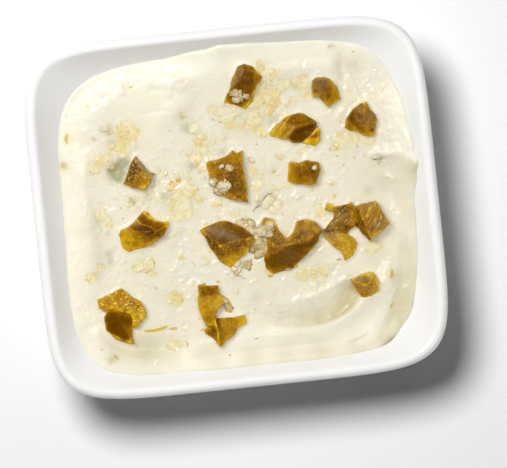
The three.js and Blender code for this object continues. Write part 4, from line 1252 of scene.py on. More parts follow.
    # Flecks, slivers and threads of olive in the cream.
    OLIVE_CRUMBS = rows_of(
        Chunk, 0,
        (38.4, -21.5, 2.3, 1, 82, 0.2, 0.8), (37.6, -29.5, 2.4, 0.6, 55, 0.12, 0.75),
        (4.6, 12.1, 1.5, 0.9, -60, 0.2, 0.6), (5.7, 11.3, 1.2, 0.9, -20, 0.2, 0.65),
        (10.7, 8.4, 1.6, 1, 20, 0.2, 0.6), (-43.8, 15.6, 1.9, 1, 70, 0.25, 0.5),
        (-43.2, 14.9, 1.2, 0.8, -20, 0.2, 0.7), (-42, 22.6, 2.4, 0.8, 80, 0.2, 0.8, 0.2),
        (-11.6, 25, 1.5, 0.7, -10, 0.18, 0.7), (-16.3, 8, 1.9, 0.8, 70, 0.25, 0.85),
        (-14.2, 8.6, 1.4, 1.1, 10, 0.25, 0.85), (-16.9, 6.4, 1.2, 0.7, 40, 0.2, 0.6),
        (-26.8, 4.6, 2.4, 0.9, -58, 0.2, 0.65), (-29.9, 3, 1.1, 0.5, 80, 0.12, 0.75),
        (-31.6, 9.4, 0.7, 0.5, 0, 0.12, 0.7), (25.1, -16.2, 1.5, 0.6, -5, 0.2, 0.85),
        (33, 12.6, 1.3, 0.6, 80, 0.25, 0.7), (27.2, 13.2, 1.4, 0.5, -50, 0.2, 0.75),
        (29.3, 19.4, 0.7, 0.4, 0, 0.12, 0.75), (28.9, 8.1, 0.8, 0.4, 10, 0.12, 0.8),
        (31.9, 9.6, 1, 0.4, -60, 0.1, 0.8), (38.2, 7.9, 1.8, 0.5, 12, 0.16, 0.6),
        (-35.2, -35.5, 2, 0.8, -40, 0.18, 0.75), (-38.7, -33.1, 1.2, 0.5, -45, 0.15, 0.7),
        (-36.8, -36.9, 0.7, 0.5, 0, 0.15, 0.7), (28.6, 39.2, 1.4, 0.4, -15, 0.16, 0.5),
        (34.8, -39.2, 1.8, 0.5, 20, 0.2, 0.5), (-30.9, 13.7, 0.9, 0.5, 20, 0.14, 0.55),
        (-31.9, 23.2, 1.3, 0.4, 14, 0.18, 0.6, 0.2), (-3.6, 23.4, 1.4, 0.4, -42, 0.16, 0.55),
        (-1.8, 22.6, 1.4, 0.6, 0, 0.14, 0.7), (10, 26.4, 1, 0.8, 30, 0.3, 0.7),
        (11, 23.6, 1.5, 0.5, 60, 0.3, 0.8), (19.5, 32.1, 0.6, 0.5, 0, 0.15, 0.5),
        (-35.8, 30.2, 1.2, 0.4, -60, 0.12, 0.7, 0.2), (-24, 34, 1.6, 0.5, 8, 0.06, 0.6),
        (5.4, -0.4, 1.9, 0.5, 30, 0.3, 0.05), (8.4, 1.9, 3.4, 0.4, 34, 0.42, 0.1, 0.4),
        (7.6, -0.4, 1.4, 0.5, 60, 0.4, 0.2), (4.4, -1.2, 0.9, 0.7, 40, 0.2, 0.4),
        (13.6, -16.8, 1.7, 1, 20, 0.5, 0.85), (11.8, -17.4, 1.6, 0.6, 0, 0.4, 0.25),
        (7, -18.6, 1.7, 0.9, 0, 0.3, 0.85), (-24, -29.3, 5.6, 0.8, 6, 0.25, 0.9, -0.25),
        (-19.6, -29.6, 1.9, 0.8, -6, 0.25, 0.95), (-17.2, -34, 2.2, 0.36, -90, 0.2, 0.7, 1),
        (-23.3, -12, 2.6, 0.45, -80, 0.3, 0.6, 0.5), (-24.6, -14, 2.6, 0.4, 18, 0.26, 0.6, -0.2),
        (-23, -18.6, 1.2, 0.6, -50, 0.1, 0.6), (-12.6, -13.2, 1.6, 0.4, -75, 0.2, 0.75),
        (-1.6, -17, 3, 0.45, -38, 0.3, 0.6, -0.6), (0, -18.4, 1.1, 0.5, -20, 0.25, 0.6),
        (-5.2, -24, 4.4, 0.5, -52, 0.5, 0.85, 0.6), (-4.3, -26.8, 1.3, 0.7, 10, 0.3, 0.9),
        (-10.6, -19, 1.4, 0.5, 10, 0.6, 0.85), (-6.8, -18.7, 1.2, 0.5, -20, 0.4, 0.9),
        (-11.9, -30.6, 1.5, 0.6, 30, 0.3, 0.5), (2.2, -26.9, 0.8, 0.5, 0, 0.12, 0.85),
        (-12.6, -28, 0.6, 0.4, 0, 0.12, 0.8), (7, 15.8, 0.9, 0.6, 10, 0.12, 0.75),
        (-5.6, -38, 1, 0.6, 20, 0.1, 0.8), (1.8, -34.5, 1.4, 0.5, 10, 0.1, 0.75),
        (24.9, 10.2, 0.5, 0.4, 0, 0.1, 0.75), (34.4, 37.2, 1, 0.5, -10, 0.08, 0.7),
        (-29.6, 0.2, 0.8, 0.5, 70, 0.12, 0.75),
    )

    @classmethod
    def beds(cls) -> list[Spot]:
        """Places where the cream lies flatter under the garlic chips."""
        return [Spot(bit.x, bit.y, 0.3 * (bit.length + bit.width), 0.9) for bit in cls.CHIPS]

    @staticmethod
    def top_of(trees: Trees, x: float, y: float) -> float:
        """Height of the highest thing below a place, or 0 where there is none."""
        hits = [tree.ray_cast(Vector((x, y, 60)), Vector((0, 0, -1)))[0] for tree in trees]
        return max([hit.z for hit in hits if hit is not None], default=0.0)

    def ground(self, chunk: Chunk, places: Array, covers: Trees) -> Array:
        """Height of what lies under some places of a bit."""
        level = np.array([self.top_of([self.cream], place[0], place[1]) for place in places])
        return np.maximum(level, self.top_of(covers, chunk.x, chunk.y))

    def add_chip(self, form: Form, chunk: Chunk, covers: Trees, scatter: Random) -> list[float]:
        """Adds one flat, angular chip that follows what it lies on.

        Args:
            form: The bmesh that the bits go into.
            chunk: The chip.
            covers: Search trees of the olives.
            scatter: Source of its random cuts.

        Returns:
            How near each of its vertices is to its edge, from 0 to 1.
        """
        cells = int(min(max(chunk.length / 0.34, 5), 18))
        made = ops.create_grid(form, x_segments=cells, y_segments=cells, size=1.0)["verts"]
        square = each(made, "co")
        share = np.abs(square[:, :2]).max(axis=1)
        angle = np.arctan2(square[:, 1], square[:, 0])
        sides = [
            (tau * (i + scatter.uniform(-0.32, 0.32)) / self.CORNERS, scatter.uniform(0.66, 0.95))
            for i in range(self.CORNERS)
        ]
        reach = np.min([far / np.maximum(np.cos(angle - turn), 0.35) for turn, far in sides], axis=0)
        ragged = np.column_stack([np.cos(angle), np.sin(angle), 0 * angle])
        reach *= 1 + 0.14 * unevenness(ragged, 0.7, 3, scatter.uniform(0, 90))
        along = reach * share * np.cos(angle) * self.SPREAD
        across = reach * share * np.sin(angle) * self.SPREAD
        local_x, local_y = along * chunk.length / 2, across * chunk.width / 2 + chunk.bend * (1 - along**2)
        turn = radians(chunk.bearing)
        x = chunk.x + local_x * cos(turn) - local_y * sin(turn)
        y = chunk.y + local_x * sin(turn) + local_y * cos(turn)
        flat = np.column_stack([x, y, 0 * x])
        tilt = scatter.uniform(-0.03, 0.03) * local_x + scatter.uniform(-0.03, 0.03) * local_y
        rough = min(chunk.width, 3.0) / 3
        stand = 0.5 * chunk.stand * (1 - share**3) - 0.05 * share**6
        top = self.ground(chunk, flat, covers) + stand + tilt * (1 - share**3)
        top += rough * 0.07 * unevenness(flat, 1.9, 2, 31.0) * (1 - share**4)
        for vert, place in zip(made, np.column_stack([x, y, top])):
            vert.co = place
        inside = set(made)
        near = dict.fromkeys(edge for vert in made for edge in vert.link_edges)
        rim = [edge for edge in near if edge.is_boundary and inside.issuperset(edge.verts)]
        lowered = ops.extrude_edge_only(form, edges=rim)["geom"]
        skirt = only(Vert, lowered)
        ops.translate(form, vec=(0, 0, -0.25 - 0.5 * chunk.stand), verts=skirt)
        low = set(skirt)
        loop = [edge for edge in only(Edge, lowered) if low.issuperset(edge.verts)]
        ops.edgeloop_fill(form, edges=loop)
        return [*np.clip(share**3, 0, 1), *([1.0] * len(skirt))]

    def add_lobe(self, form: Form, chunk: Chunk, covers: Trees, scatter: Random) -> list[float]:
        """Adds one rounded lobe, sunk a little into what it lies on.

        Args:
            form: The bmesh that the bits go into.
            chunk: The lobe.
            covers: Search trees of the olives.
            scatter: Source of its random shape.

        Returns:
            How near each of its vertices is to its edge, from 0 to 1.
        """
        detail = 4 if chunk.length > 2.6 else 3
        made = ops.create_icosphere(form, subdivisions=detail, radius=1.0)["verts"]
        level = float(self.ground(chunk, np.array([[chunk.x, chunk.y, 0.0]]), covers)[0])
        turn = Matrix.Rotation(radians(chunk.bearing), 3, "Z")
        thick = 0.3 * chunk.width
        shift = Vector((scatter.uniform(0, 90), scatter.uniform(0, 90), 0))
        edge = []
        for vert in made:
            way = vert.co.normalized()
            swell = 1 + 0.3 * noise.noise(way * 1.5 + shift) + 0.44 * noise.noise(way * 3.2 + shift)
            swell += 0.2 * noise.noise(way * 7 + shift)
            squared = 1 / (abs(way.x) ** 3 + abs(way.y) ** 3 + abs(way.z) ** 3) ** (1 / 3)
            local = way * swell * squared * 1.05
            local = Vector((local.x * chunk.length / 2, local.y * chunk.width / 2, local.z * thick))
            vert.co = turn @ local + Vector((chunk.x, chunk.y, level + 0.75 * chunk.stand - thick))
            edge.append(min(1.0, hypot(way.x, way.y) ** 4))
        return edge

    def build_kind(
        self, name: str, chips: list[Chunk], lobes: list[Chunk], covers: Trees, seed: int
    ) -> None:
        """Makes all bits of one kind as one piece.

        Args:
            name: Name of the piece.
            chips: Its flat chips.
            lobes: Its rounder lobes.
            covers: Search trees of the olives.
            seed: Seed of their random cuts.
        """
        form, scatter, rows = bmesh.new(), Random(seed), []
        jobs = [(chip, self.add_chip) for chip in chips] + [(lobe, self.add_lobe) for lobe in lobes]
        for chunk, add in jobs:
            bare = 0.5 if chunk.shade < 0.3 else min(max(4.4 - 4.8 * chunk.shade, 0.3), 1.0)
            veil = min(max(0.7 - 0.14 * chunk.length, 0.1), 0.6) * bare
            # The brown on lobes is the olive showing through where a lobe lies on one, and painted shade
            # where it lies between olives; edges get more.
            on_olive = self.top_of(covers, chunk.x, chunk.y) > 0
            under = (0.2 if on_olive else 0.1) + 0.5 * chunk.shade
            for share in add(form, chunk, covers, scatter):
                browned = under + 0.2 * share if chunk in lobes else 0.0
                rows.append((share, chunk.shade, browned, veil + 0.3 * bare * share))
        edges, shades, olive_below_and_shade, veils = np.array(rows).T
        ops.recalc_face_normals(form, faces=form.faces)
        mesh = mesh_from(form, name)
        finish, slot = self.garlic_finish, "aioli"
        kept = {"tone": shades, "chip_edge": edges, "under": olive_below_and_shade}
        if name == "olive_crumbs":
            finish, slot = self.olive_finish, "olive"
            tones = 0.42 + 0.5 * (shades + 0.3 * edges * (1 - shades))
            kept = {"tone": tones, "veil": veils, "film": 1.5 - 1.7 * shades}
            kept |= {"pulp": np.full(len(shades), 0.3), "specks": np.full(len(shades), 0.2)}
            set_attribute(mesh, "grain_place", coordinates(mesh) / MM)
        for label, values in kept.items():
            set_attribute(mesh, label, np.clip(values, 0, 1))
        place_piece(name, mesh, finish, slot)

    def specks(self, covers: Trees) -> list[Chunk]:
        """Small garlic crumbs scattered over the busy middle of the bowl.

        Args:
            covers: Search trees of the olives, which stay bare.

        Returns:
            The crumbs.
        """
        scatter, crumbs = Random(41), []
        while len(crumbs) < self.CRUMBS:
            x, y = scatter.gauss(-2, 19), scatter.gauss(2, 16)
            bare = self.top_of(covers, x, y) > 0 or scatter.random() < Aioli.smoothness_at(x, y)
            if abs(x) < 38 and -30 < y < 31 and not bare:
                size = scatter.uniform(0.8, 2.2)
                wide, turn = size * scatter.uniform(0.5, 0.9), scatter.uniform(0, 180)
                crumbs.append(Chunk(x, y, size, wide, turn, 0.1, scatter.uniform(0.2, 0.7)))
        return crumbs

    def fragments(self) -> list[Chunk]:
        """Smaller flakes that lie across the larger chips.

        Returns:
            The flakes.
        """
        draw, flakes = Random(19).uniform, []
        for chip in self.CHIPS:
            for _ in range(round(0.5 * chip.length - 1)):
                size, wide = chip.length * draw(0.5, 0.8), draw(0.5, 0.9)
                x, y = (at + chip.width * draw(-0.32, 0.32) for at in (chip.x, chip.y))
                stand = chip.stand + draw(0.02, 0.12)
                shade = min(max(chip.shade + draw(-0.25, 0.35), 0), 1)
                flakes.append(Chunk(x, y, size, size * wide, draw(0, 180), stand, shade))
        return flakes

    def build(self, covers: Trees) -> None:
        """Adds garlic, garlic crumbs and olive flecks.

        Args:
            covers: Search trees of the olives.
        """
        self.build_kind("minced_garlic", [*self.CHIPS, *self.fragments()], list(self.LOBES), covers, 5)
        self.build_kind("garlic_crumbs", self.specks(covers), [], covers, 6)
        self.build_kind("olive_crumbs", list(self.OLIVE_CRUMBS), [], covers, 8)


# ---- finishes ----


@dataclass
class Graph:
    """Adds and links shader nodes in one node tree."""

    tree: NodeTree

    def feed(self, socket: Socket, value: object) -> None:
        """Links a socket to another, or sets its plain value."""
        if isinstance(value, Socket):
            self.tree.links.new(value, socket)
        else:
            socket.default_value = value

    def node(self, kind: str, inputs: dict[str | int, object] | None = None, **settings: object) -> Node:
        """Adds a node.

        Args:
            kind: Blender's name of the node type.
            inputs: What its sockets take, by name or place.
            settings: Its other settings.

        Returns:
            The node.
        """
        made = self.tree.nodes.new(kind)
        for name, value in settings.items():
            setattr(made, name, value)
        for name, value in (inputs or {}).items():
            self.feed(made.inputs[name], value)
        return made

    def mix(self, share: object, first: object, second: object) -> Socket:
        """Colour between two others by a share from 0 to 1."""
        return self.node("ShaderNodeMix", {0: share, 6: first, 7: second}, data_type="RGBA").outputs[2]

    def math(self, operation: str, *values: object) -> Socket:
        """Result of a math node on the given values."""
        return self.node("ShaderNodeMath", dict(enumerate(values)), operation=operation).outputs[0]

    def times(self, first: object, second: object) -> Socket:
        """Product of two values."""
        return self.math("MULTIPLY", first, second)

    def between(self, share: object, low: float, high: float) -> Socket:
        """Value between two numbers by a share from 0 to 1."""
        return self.node("ShaderNodeMapRange", {"Value": share, "To Min": low, "To Max": high}).outputs[0]

    def share(self, value: object, low: object, high: object, **settings: object) -> Socket:
        """Share from 0 to 1 of the way of a value from low to high."""
        ends = {"Value": value, "From Min": low, "From Max": high}
        return self.node("ShaderNodeMapRange", ends, **settings).outputs[0]

    def noise(self, place: object, scale: object, detail: object = 2.0) -> Socket:
        """Smooth random value at a place."""
        inputs = {"Vector": place, "Scale": scale, "Detail": detail}
        return self.node("ShaderNodeTexNoise", inputs).outputs[0]

    def attribute(self, name: str, output: str = "Fac") -> Socket:
        """The piece's own number of that name, or its own place where the output is Vector."""
        return self.node("ShaderNodeAttribute", attribute_name=name).outputs[output]

    def place(self) -> Socket:
        """The piece's own coordinates in mm."""
        own = self.node("ShaderNodeTexCoord").outputs["Object"]
        return self.node("ShaderNodeMapping", {"Vector": own, "Scale": (1 / MM,) * 3}).outputs[0]

    def shared(self, name: str, output: str, **inputs: object) -> Socket:
        """Output of a shared effect."""
        group = bpy.data.node_groups[name]
        return self.node("ShaderNodeGroup", inputs, node_tree=group).outputs[output]

    def cloud(self, place: object, size: float, softness: float, detail: float = 2.0) -> Socket:
        """Soft patches of a size in mm."""
        numbers = {"Size": size, "Detail": detail, "Softness": softness}
        return self.shared("soft_patches", "Share", Place=place, **numbers)

    def veins(self, place: object, size: float) -> Socket:
        """Fine broken veins of a size in mm."""
        return self.shared("fine_veins", "Share", Place=place, Size=size)

    def grain(self, place: object, size: float, output: str = "Height") -> Socket:
        """Grain of pulp of a size in mm: its height or its pale cells."""
        return self.shared("pulp_grain", output, Place=place, Size=size)

    def dress(self, shader: Node, tint: object, rough: object, relief: object, depth: float) -> None:
        """Gives a shader its colour, roughness and a relief of so many mm."""
        self.feed(shader.inputs["Base Color"], tint)
        self.feed(shader.inputs["Roughness"], rough)
        bump = self.node("ShaderNodeBump", {"Height": relief, "Distance": depth * MM})
        self.feed(shader.inputs["Normal"], bump.outputs[0])


class SharedEffects:
    """Node groups that more than one finish uses."""

    def build(self) -> None:
        """Builds the groups."""
        self._cloud()
        self._grain()
        self._veins()

    @staticmethod
    def _start(name: str, sizes: dict[str, float], *outputs: str) -> tuple[Graph, object, Socket]:
        """Starts a node group whose inputs are a place, a size in mm and other numbers.

        Args:
            name: Name of the group.
            sizes: Default of each number, Size among them.
            outputs: Names of the number outputs.

        Returns:
            Its graph, the sockets of its inputs and the scale that the size gives.
        """
        group = bpy.data.node_groups.new(name, "ShaderNodeTree")
        group.interface.new_socket("Place", in_out="INPUT", socket_type="NodeSocketVector")
        for label, default in sizes.items():
            socket = group.interface.new_socket(label, in_out="INPUT", socket_type="NodeSocketFloat")
            socket.default_value = default
        for label in outputs:
            group.interface.new_socket(label, in_out="OUTPUT", socket_type="NodeSocketFloat")
        graph = Graph(group)
        given = graph.node("NodeGroupInput").outputs
        return graph, given, graph.math("DIVIDE", 1.0, given["Size"])

    def _cloud(self) -> None:
        """Soft patches from 0 to 1, with a size in mm and a softness."""
        sizes = {"Size": 5.0, "Detail": 2.0, "Softness": 0.2}
        graph, given, scale = self._start("soft_patches", sizes, "Share")
        pattern = graph.noise(given["Place"], scale, given["Detail"])
        low = graph.math("SUBTRACT", 0.5, given["Softness"])
        high = graph.math("ADD", 0.5, given["Softness"])
        share = graph.share(pattern, low, high, interpolation_type="SMOOTHSTEP")
        graph.node("NodeGroupOutput", {"Share": share})

    def _veins(self) -> None:
        """Fine broken veins, 1 on a vein and 0 between them, with a size in mm."""
        graph, given, scale = self._start("fine_veins", {"Size": 1.0}, "Share")
        lines = graph.noise(given["Place"], scale)
        away = graph.math("ABSOLUTE", graph.math("SUBTRACT", lines, 0.5))
        inputs = {"Value": away, "From Max": 0.05, "To Min": 1.0, "To Max": 0.0}
        vein = graph.node("ShaderNodeMapRange", inputs)
        breaks = graph.noise(given["Place"], graph.times(scale, 2.6))
        kept = graph.share(breaks, 0.4, 0.6)
        graph.node("NodeGroupOutput", {"Share": graph.times(vein.outputs[0], kept)})

    def _grain(self) -> None:
        """Cell-like grain of pulp: a height and the share of pale cells."""
        graph, given, scale = self._start("pulp_grain", {"Size": 0.6}, "Height", "Pale")
        cells = graph.node("ShaderNodeTexVoronoi", {"Vector": given["Place"], "Scale": scale})
        fine = graph.noise(given["Place"], graph.times(scale, 1.7), 3.0)
        height = graph.math("ADD", graph.times(cells.outputs["Distance"], -0.6), fine)
        graph.node("NodeGroupOutput", {"Height": height, "Pale": graph.share(fine, 0.56, 0.65)})


def new_material(name: str, **plain: object) -> tuple[Material, Graph, Node]:
    """Starts a material with one principled shader.

    Args:
        name: Name of the material.
        plain: Values of the shader's own sockets, with _ for a space in their names.

    Returns:
        The material, its graph and its shader.
    """
    material = bpy.data.materials.new(name)
    material.use_nodes = True
    material.node_tree.nodes.clear()
    graph = Graph(material.node_tree)
    inputs = {label.replace("_", " "): value for label, value in plain.items()}
    shader = graph.node("ShaderNodeBsdfPrincipled", inputs)
    graph.node("ShaderNodeOutputMaterial", {"Surface": shader.outputs[0]})
    return material, graph, shader


@dataclass(frozen=True)
class PorcelainGlaze:
    """Clear-glazed white porcelain, bare on the foot ring."""

    white: Colour = colour(252, 252, 250)
    shade: Colour = colour(248, 247, 245)
    bare: Colour = colour(226, 219, 206)
    pore: Colour = colour(205, 196, 182)
    gloss: float = 0.1
    bare_height: float = 0.35

    def material(self) -> Material:
        """Builds the material.

        Returns:
            The material.
        """
        made, graph, shader = new_material("porcelain_glaze", IOR=1.52)
        place = graph.place()
        patches = graph.cloud(place, 26.0, 0.3)
        height = graph.node("ShaderNodeSeparateXYZ", {0: place}).outputs[2]
        level = graph.math("SUBTRACT", height, graph.times(graph.cloud(place, 1.6, 0.3), 0.12))
        glazed = graph.share(level, self.bare_height - 0.06, self.bare_height)
        glaze = graph.mix(patches, self.white, self.shade)
        clay = graph.mix(graph.grain(place, 0.35, "Pale"), self.bare, self.pore)
        smooth = graph.between(patches, self.gloss * 0.8, self.gloss * 1.3)
        rough = graph.math("ADD", smooth, graph.between(glazed, 0.5, 0.0))
        graph.dress(shader, graph.mix(glazed, clay, glaze), rough, graph.cloud(place, 9.0, 0.45), 0.03)
        return made


@dataclass(frozen=True)
class AioliCream:
    """Thick garlic mayonnaise: soft, glossy, warm white."""

    cream: Colour = colour(252, 247, 229)
    warm: Colour = colour(250, 243, 219)
    stirred: Colour = colour(245, 239, 218)
    mottle: Colour = colour(232, 224, 188)
    deep_and_painted_shade: Colour = colour(216, 206, 166)
    wet: Colour = colour(232, 219, 168)
    sunk: Colour = colour(176, 178, 138)
    smudge: Colour = colour(166, 140, 84)
    vein: Colour = colour(228, 192, 108)

    def material(self) -> Material:
        """Builds the material.

        Returns:
            The material.
        """
        made, graph, shader = new_material(
            "aioli_cream", IOR=1.45, Subsurface_Weight=0.3, Subsurface_Radius=(1.0, 0.75, 0.4),
            Subsurface_Scale=1.2 * MM,
        )
        place = graph.place()
        patches = graph.cloud(place, 14.0, 0.25, 3.0)
        ragged = graph.cloud(place, 2.4, 0.3, 4.0)
        clean, wet = graph.attribute("clean"), graph.attribute("wet_cream")
        tint = graph.mix(clean, self.stirred, graph.mix(patches, self.cream, self.warm))
        tint = graph.mix(graph.times(graph.between(clean, 0.22, 0.04), ragged), tint, self.mottle)
        # Painted shade, with some real yellowing where the cream lies deep: darker, yellower cream in
        # hollows, along the walls and towards the lower right.
        tint = graph.mix(graph.attribute("hollow"), tint, self.deep_and_painted_shade)
        tint = graph.mix(graph.times(wet, graph.between(ragged, 0.35, 1.15)), tint, self.wet)
        sunk = graph.times(graph.attribute("sunk_olive"), graph.between(ragged, 0.75, 1.1))
        tint = graph.mix(sunk, tint, self.sunk)
        tint = graph.mix(graph.times(graph.veins(place, 2.4), graph.between(wet, 0.0, 1.1)), tint, self.vein)
        fine = graph.between(graph.cloud(place, 0.9, 0.16, 3.0), 0.25, 1.15)
        tint = graph.mix(graph.times(graph.attribute("smudge"), fine), tint, self.smudge)
        rough = graph.math("ADD", graph.between(ragged, 0.1, 0.26), graph.times(clean, 0.2))
        lumps = graph.times(graph.grain(place, 1.0), graph.between(clean, 1.6, 0.25))
        graph.dress(shader, tint, rough, lumps, 0.06)
        return made


class OliveTone(Enum):
    """Colours of chopped green olive, from dark skin to clear edge, with their place in the ramp."""

    DARK = (0.0, colour(92, 53, 0))
    SKIN = (0.22, colour(122, 77, 0))
    PULP = (0.5, colour(174, 122, 0))
    PALE = (0.75, colour(214, 166, 8))
    EDGE = (1.0, colour(244, 204, 34))


@dataclass(frozen=True)
class OliveFlesh:
    """Green olive in brine: smooth glossy skin, grainy cut pulp, here and there greyed by painted sheen,
    partly a milky coat.
    """

    film: Colour = colour(158, 142, 106)
    speck: Colour = colour(244, 218, 122)
    veil: Colour = colour(246, 235, 190)
    skin_gloss: float = 0.14
    pulp_gloss: float = 0.3

    def material(self) -> Material:
        """Builds the material.

        Returns:
            The material.
        """
        made, graph, shader = new_material(
            "olive_flesh", Specular_IOR_Level=0.3, Subsurface_Weight=0.1,
            Subsurface_Radius=(1.0, 0.5, 0.1), Subsurface_Scale=0.8 * MM,
        )
        place = graph.attribute("grain_place", "Vector")
        pulp = graph.attribute("pulp")
        patches = graph.cloud(place, 1.5, 0.28, 4.0)
        lift = graph.times(graph.math("SUBTRACT", patches, 0.5), graph.between(pulp, 0.06, 0.26))
        ramp = graph.node("ShaderNodeValToRGB", {"Fac": graph.math("ADD", graph.attribute("tone"), lift)})
        stops = ramp.color_ramp.elements
        for stop, tone in zip([stops[0], stops[1]], (OliveTone.DARK, OliveTone.EDGE)):
            stop.position, stop.color = tone.value
        for tone in (OliveTone.SKIN, OliveTone.PULP, OliveTone.PALE):
            stops.new(tone.value[0]).color = tone.value[1]
        # Grey of painted sheen on the cuts, partly a thin milky coat; on the crumbs a coat of cream.
        milky = graph.times(graph.attribute("film"), graph.between(patches, 0.45, 1.0))
        tint = graph.mix(milky, ramp.outputs[0], self.film)
        specks = graph.times(graph.times(graph.grain(place, 0.8, "Pale"), pulp), graph.attribute("specks"))
        tint = graph.mix(graph.attribute("veil"), graph.mix(specks, tint, self.speck), self.veil)
        rough = graph.between(pulp, self.skin_gloss, self.pulp_gloss)
        relief = graph.times(graph.grain(place, 0.7), graph.between(pulp, 0.1, 1.0))
        graph.dress(shader, tint, rough, relief, 0.13)
        return made


@dataclass(frozen=True)
class GarlicFlesh:
    """Minced garlic: clear yellowish pulp with amber edges, greyer where it is thick and dry."""

    clear: Colour = colour(247, 226, 148)
    pale: Colour = colour(253, 246, 212)
    grey: Colour = colour(234, 225, 188)
    amber: Colour = colour(240, 188, 76)
    vein: Colour = colour(228, 196, 100)
    brown_below_and_shade: Colour = colour(152, 112, 34)

    def material(self) -> Material:
        """Builds the material.

        Returns:
            The material.
        """
        made, graph, shader = new_material(
            "garlic_flesh", Subsurface_Weight=0.06, Subsurface_Radius=(1.0, 0.85, 0.5),
            Subsurface_Scale=0.5 * MM,
        )
        place, tone = graph.place(), graph.attribute("tone")
        patches = graph.cloud(place, 2.6, 0.16)
        tint = graph.mix(graph.times(patches, 0.75), graph.mix(tone, self.grey, self.clear), self.pale)
        veins = graph.times(graph.veins(place, 2.2), graph.between(tone, 0.25, 1.2))
        tint = graph.mix(veins, tint, self.vein)
        arcs = graph.between(graph.cloud(place, 1.9, 0.1, 1.0), 0.0, 0.9)
        edge = graph.times(graph.attribute("chip_edge"), arcs)
        tint = graph.mix(graph.times(edge, graph.between(tone, 0.2, 0.85)), tint, self.amber)
        # Brown where an olive shows through a lobe, and painted shade on lobes that lie between olives.
        under = graph.times(graph.attribute("under"), graph.between(patches, 1.25, 0.7))
        tint = graph.mix(under, tint, self.brown_below_and_shade)
        graph.dress(shader, tint, graph.between(patches, 0.1, 0.26), graph.grain(place, 0.9), 0.05)
        return made


# ---- studio ----


@dataclass(frozen=True)
class Lamp:
    """A round soft light aimed at the bowl: bearing and rise in degrees, distance and size in metres."""

    name: str
    bearing: float
    rise: float
    distance: float
    size: float
    power: float
    lights: str


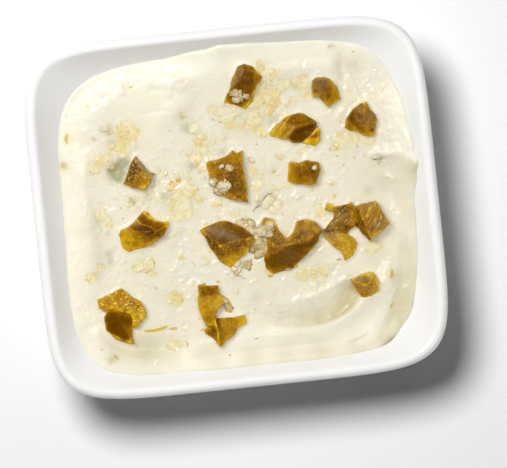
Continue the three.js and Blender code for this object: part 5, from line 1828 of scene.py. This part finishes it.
class Studio:
    """Pale floor, soft light from the upper left and a camera straight above."""

    AIM = (3.73, -7.32)
    VIEW_WIDTH = 131.45
    ROLL = -5.98
    LENS = 400.0
    SENSOR = 36.0
    SKY = 0.025
    FLOOR_TINTS = (colour(252, 252, 252), colour(250, 250, 250))
    LAMPS = rows_of(
        Lamp, 0,
        ("floor_light", 122, 70, 0.75, 0.26, 5.7, "floor"),
        ("floor_fill", 50, 62, 0.8, 0.4, 0.25, "floor"),
        ("key_light", 138, 50, 0.7, 0.4, 2.9, "object"),
        ("fill_light", 100, 82, 1.1, 0.9, 5.2, "object"),
        ("bounce_light", -35, 48, 0.8, 0.5, 1.25, "object"),
        ("bowl_light", 100, 80, 1.1, 0.9, 1.2, "bowl"),
        ("window_gloss", 140, 48, 0.9, 0.3, 0.6, "gloss"),
        ("glint_gloss", 120, 62, 1.2, 0.12, 4.4, "cream"),
        ("edge_gloss", -40, 46, 1.0, 0.14, 0.5, "gloss"),
    )

    def floor(self) -> Object:
        """Adds the floor that the bowl stands on.

        Returns:
            The floor.
        """
        form = bmesh.new()
        ops.create_grid(form, x_segments=2, y_segments=2, size=6000.0)
        mesh = mesh_from(form, "studio_floor")
        made, graph, shader = new_material("pale_floor", Roughness=0.9, Specular_IOR_Level=0.1)
        tint = graph.mix(graph.noise(graph.place(), 0.01), *self.FLOOR_TINTS)
        graph.feed(shader.inputs["Base Color"], tint)
        mesh.materials.append(made)
        ground = add_object("studio_floor", mesh)
        return ground

    @staticmethod
    def add_lamp(lamp: Lamp, lit: bpy.types.Collection | None) -> None:
        """Adds one light.

        Args:
            lamp: The light's sizes.
            lit: What it lights, or nothing where it lights everything.
        """
        data = bpy.data.lights.new(lamp.name, "AREA")
        data.shape, data.size, data.energy = "DISK", lamp.size, lamp.power
        light = add_object(lamp.name, data)
        turn, lift = radians(lamp.bearing), radians(lamp.rise)
        out = Vector((cos(turn) * cos(lift), sin(turn) * cos(lift), sin(lift)))
        light.location = out * lamp.distance + Vector((0, 0, 0.03))
        light.rotation_euler = out.to_track_quat("Z", "Y").to_euler()
        light.visible_camera = False
        light.visible_glossy = "gloss" in lamp.name
        light.visible_diffuse = "gloss" not in lamp.name
        if lit is not None:
            light.light_linking.receiver_collection = lit

    def surroundings(self) -> None:
        """Adds the pale surroundings, white where the camera sees them."""
        scene = bpy.context.scene
        scene.world = bpy.data.worlds.new("studio")
        scene.world.use_nodes = True
        scene.world.node_tree.nodes.clear()
        graph = Graph(scene.world.node_tree)
        seen = graph.node("ShaderNodeLightPath").outputs["Is Camera Ray"]
        strength = graph.between(seen, self.SKY, 0.95)
        sky = graph.node("ShaderNodeBackground", {"Color": colour(255, 254, 252), "Strength": strength})
        graph.node("ShaderNodeOutputWorld", {"Surface": sky.outputs[0]})

    def camera(self) -> None:
        """Adds the camera above the rim."""
        data = bpy.data.cameras.new("overhead_camera")
        data.lens, data.sensor_width, data.clip_end = self.LENS, self.SENSOR, 20.0
        camera = add_object("overhead_camera", data)
        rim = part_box("bowl")[1].z
        rise = self.VIEW_WIDTH * MM * self.LENS / self.SENSOR
        camera.location = (self.AIM[0] * MM, self.AIM[1] * MM, rim + rise)
        camera.rotation_euler = (0.0, 0.0, radians(self.ROLL))
        bpy.context.scene.camera = camera

    def build(self, pieces: list[Object]) -> None:
        """Adds floor, lights, surroundings and camera.

        Args:
            pieces: The object's pieces, which have lights of their own.
        """
        cream = [piece for piece in pieces if "olive" not in piece.name]
        groups = {"floor": [self.floor()], "object": pieces, "bowl": pieces[:1], "cream": cream}
        lit = {}
        for name, members in groups.items():
            lit[name] = bpy.data.collections.new("lit_" + name)
            for member in members:
                lit[name].objects.link(member)
        for lamp in self.LAMPS:
            self.add_lamp(lamp, lit.get(lamp.lights))
        self.surroundings()
        self.camera()
        bpy.context.scene.view_settings.view_transform = "Standard"


def main() -> None:
    """Builds every piece in order and reports it."""
    logging.basicConfig(level=logging.INFO, format="%(message)s")
    SharedEffects().build()
    shape = BowlShape.of_packed_bowl()
    olive_finish = OliveFlesh().material()
    Bowl(shape, PorcelainGlaze().material()).build()
    surface = AioliSurface(shape)
    olives = ChoppedOlives(olive_finish).build()
    cream = Aioli(surface, AioliCream().material()).build(olives, MincedBits.beds())
    MincedBits(cream, GarlicFlesh().material(), olive_finish).build(olives)
    Studio().build(PLACED)


if __name__ == "__main__":
    main()
